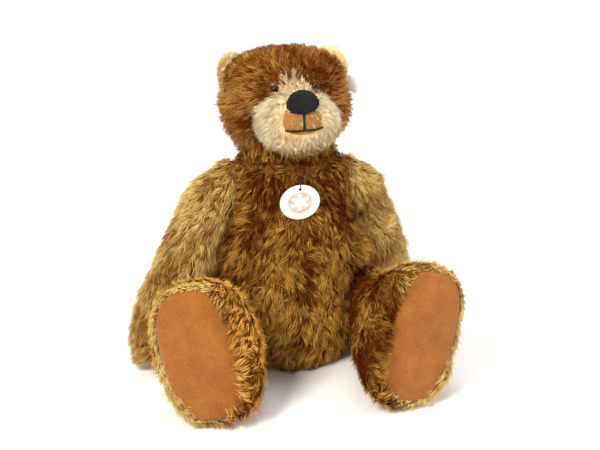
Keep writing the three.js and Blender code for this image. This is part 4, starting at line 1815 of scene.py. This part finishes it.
@dataclass(frozen=True)
class Lamp:
    """A soft box.

    Args:
        name: Its name.
        place: Where it stands.
        size: How wide it is.
        power: Its power in watts.
        tint: Its colour.
    """

    name: str
    place: tuple[float, float, float]
    size: float
    power: float
    tint: Colour = (1.0, 1.0, 1.0)

    def hang(self, target: Vector) -> None:
        """Puts up the lamp. Args: target: what it faces."""
        light = bpy.data.lights.new(self.name, "AREA")
        light.shape = "DISK"
        light.size = self.size
        light.energy = self.power
        light.color = self.tint
        lamp = show(self.name, light)
        lamp.location = self.place
        lamp.rotation_euler = (target - Vector(self.place)).to_track_quat("-Z", "Y").to_euler()


@dataclass
class Studio:
    """Pale floor, soft lamps and the camera.

    Args:
        azimuth: Camera's angle round the bear, in degrees.
        elevation: Its angle above the floor, in degrees.
        distance: From the target.
        target: What it looks at.
        lens: Focal length in millimetres on a 36 mm sensor.
        lamps: The lamps.
    """

    azimuth: float = -10.5
    elevation: float = 26.0
    distance: float = 1.2
    target: tuple[float, float, float] = (0.0154, 0.0108, 0.1228)
    lens: float = 82.3
    lamps: tuple[Lamp, ...] = (
        Lamp("key", (-0.9, -1.0, 1.4), 0.6, 38.0, (1.0, 0.96, 0.9)),
        Lamp("fill", (1.4, -0.7, 0.9), 1.2, 14.0),
        Lamp("top", (0.1, 0.5, 1.9), 1.0, 16.0),
    )

    def build(self) -> None:
        """Lays the floor and hangs the lamps and the camera."""
        shape = bmesh.new()
        bmesh.ops.create_grid(shape, x_segments=2, y_segments=2, size=6.0)
        floor = object_of("floor", shape)
        floor.data.materials.append(FLOOR.material())
        aim = Vector(self.target)
        for lamp in self.lamps:
            lamp.hang(aim)
        world = bpy.data.worlds.new("studio")
        world.use_nodes = True
        back = world.node_tree.nodes["Background"]
        back.inputs["Color"].default_value = (1.0, 0.99, 0.975, 1)
        back.inputs["Strength"].default_value = 0.55
        bpy.context.scene.world = world
        self.camera(aim)

    def camera(self, aim: Vector) -> None:
        """Stands the camera where the photograph was taken from. Args: aim: what it looks at."""
        around, above = math.radians(self.azimuth), math.radians(self.elevation)
        level = math.cos(above)
        back = Vector((math.sin(around) * level, -math.cos(around) * level, math.sin(above)))
        data = bpy.data.cameras.new("camera")
        data.lens = self.lens
        data.sensor_width = 36.0
        camera = show("camera", data)
        camera.location = aim + back * self.distance
        camera.rotation_euler = (-back).to_track_quat("-Z", "Y").to_euler()
        bpy.context.scene.camera = camera
        bpy.context.scene.view_settings.view_transform = "Standard"


# ---------------------------------------------------------------- the bear


def plush() -> list[Plush]:
    """Lists the bear's plush. Returns: every piece, not yet built, with the head second."""
    body = Pile(15 * MM)
    face = Pile(12 * MM, width=0.27 * MM, lift=0.5, lie=0.04, tuft=0.45, mottle=0.2)
    snout = Pile(11 * MM, width=0.24 * MM, tousle=0.14, lift=0.38, lie=0, tuft=0.45, mottle=0.17, bend=0.12)
    nap = Pile(1.3 * MM, width=0.2 * MM, tuft=0.1, lift=1.2, lie=0.8, mottle=0.05)
    limb = Pile(14 * MM, tuft=0.42, mottle=0.16)
    sleeve = Pile(15 * MM, tuft=0.34, per_tuft=9, mottle=0.13)
    band = Pile(11 * MM, width=0.28 * MM, lift=0.9, lie=0.1, tousle=0.12, tuft=0.3)
    small = Pile(9.5 * MM, width=0.25 * MM, tousle=0.25, tuft=0.3)
    chest = (Coat(Part.MAIN, body, CHESTNUT, 32000),)
    head = (
        Coat(Part.MAIN, face, RUSSET, 24000),
        Coat(Part.PALE, snout, CREAM, 12000),
        Coat(Part.CLIPPED, nap, VELVET, 2500),
    )
    arm = (Coat(Part.MAIN, sleeve, GOLDEN, 15500),)
    leg = (Coat(Part.MAIN, limb, CHESTNUT, 16000), Coat(Part.RIM, band, GOLDEN, 2600))
    ear = (Coat(Part.MAIN, small, FLAXEN, 3600),)
    ears = tuple(f"{side}_ear" for side in SIDES)
    pieces: list[Plush] = [
        Torso("torso", "torso", ("torso",), JOINTS, ("head", *LIMBS), chest, 1),
        Head(
            "head",
            "head",
            ("head", "muzzle"),
            ("neck",),
            ("torso", *ears),
            head,
            2,
            depth=1.4 * MM,
            voxel=3.5 * MM,
        ),
    ]
    for extra, side in enumerate(SIDES):
        arm_of, leg_of, ear_of = (f"{side}_{stem}" for stem in ("arm", "leg", "ear"))
        shoulder, hip = ((f"{side}_{joint}",) for joint in ("shoulder", "hip"))
        fine = {"depth": 0.7 * MM, "voxel": 1.5 * MM}
        pieces += [
            Arm(arm_of, arm_of, (arm_of,), shoulder, ("torso",), arm, 10 + extra, GOLDEN_CLOTH, side=side),
            Leg(leg_of, leg_of, (leg_of,), hip, ("torso",), leg, 20 + extra, side=side),
            Ear(ear_of, "head", (ear_of,), (), ("head",), ear, 30 + extra, GOLDEN_CLOTH, side=side, **fine),
        ]
    return pieces


def main() -> None:
    """Builds the bear and its studio."""
    logging.basicConfig(level=logging.INFO, format="%(name)s: %(message)s")
    pieces = plush()
    for piece in pieces:
        piece.build()
    Stuffing(pieces).press()
    for piece in pieces:
        piece.stuff()
        piece.dress()
    face = Front(pieces[1].skin)
    trim: list[Any] = [
        Nose(),
        Mouth(face),
        SwingTag(),
        Kept("tag_thread", THREAD, smooth=True),
        Kept("ear_label", TAPE, edge=0.25 * MM),
        Kept("_disc", HARDBOARD),
        Kept("_washer", STEEL),
        Kept("_split_pin", STEEL),
        Kept("_paw_pad", FELT, smooth=True),
    ]
    for side in SIDES:
        trim += [FootPad(side), Eye(side, face)]
    for piece in trim:
        piece.build()
    Studio().build()


if __name__ == "__main__":
    main()
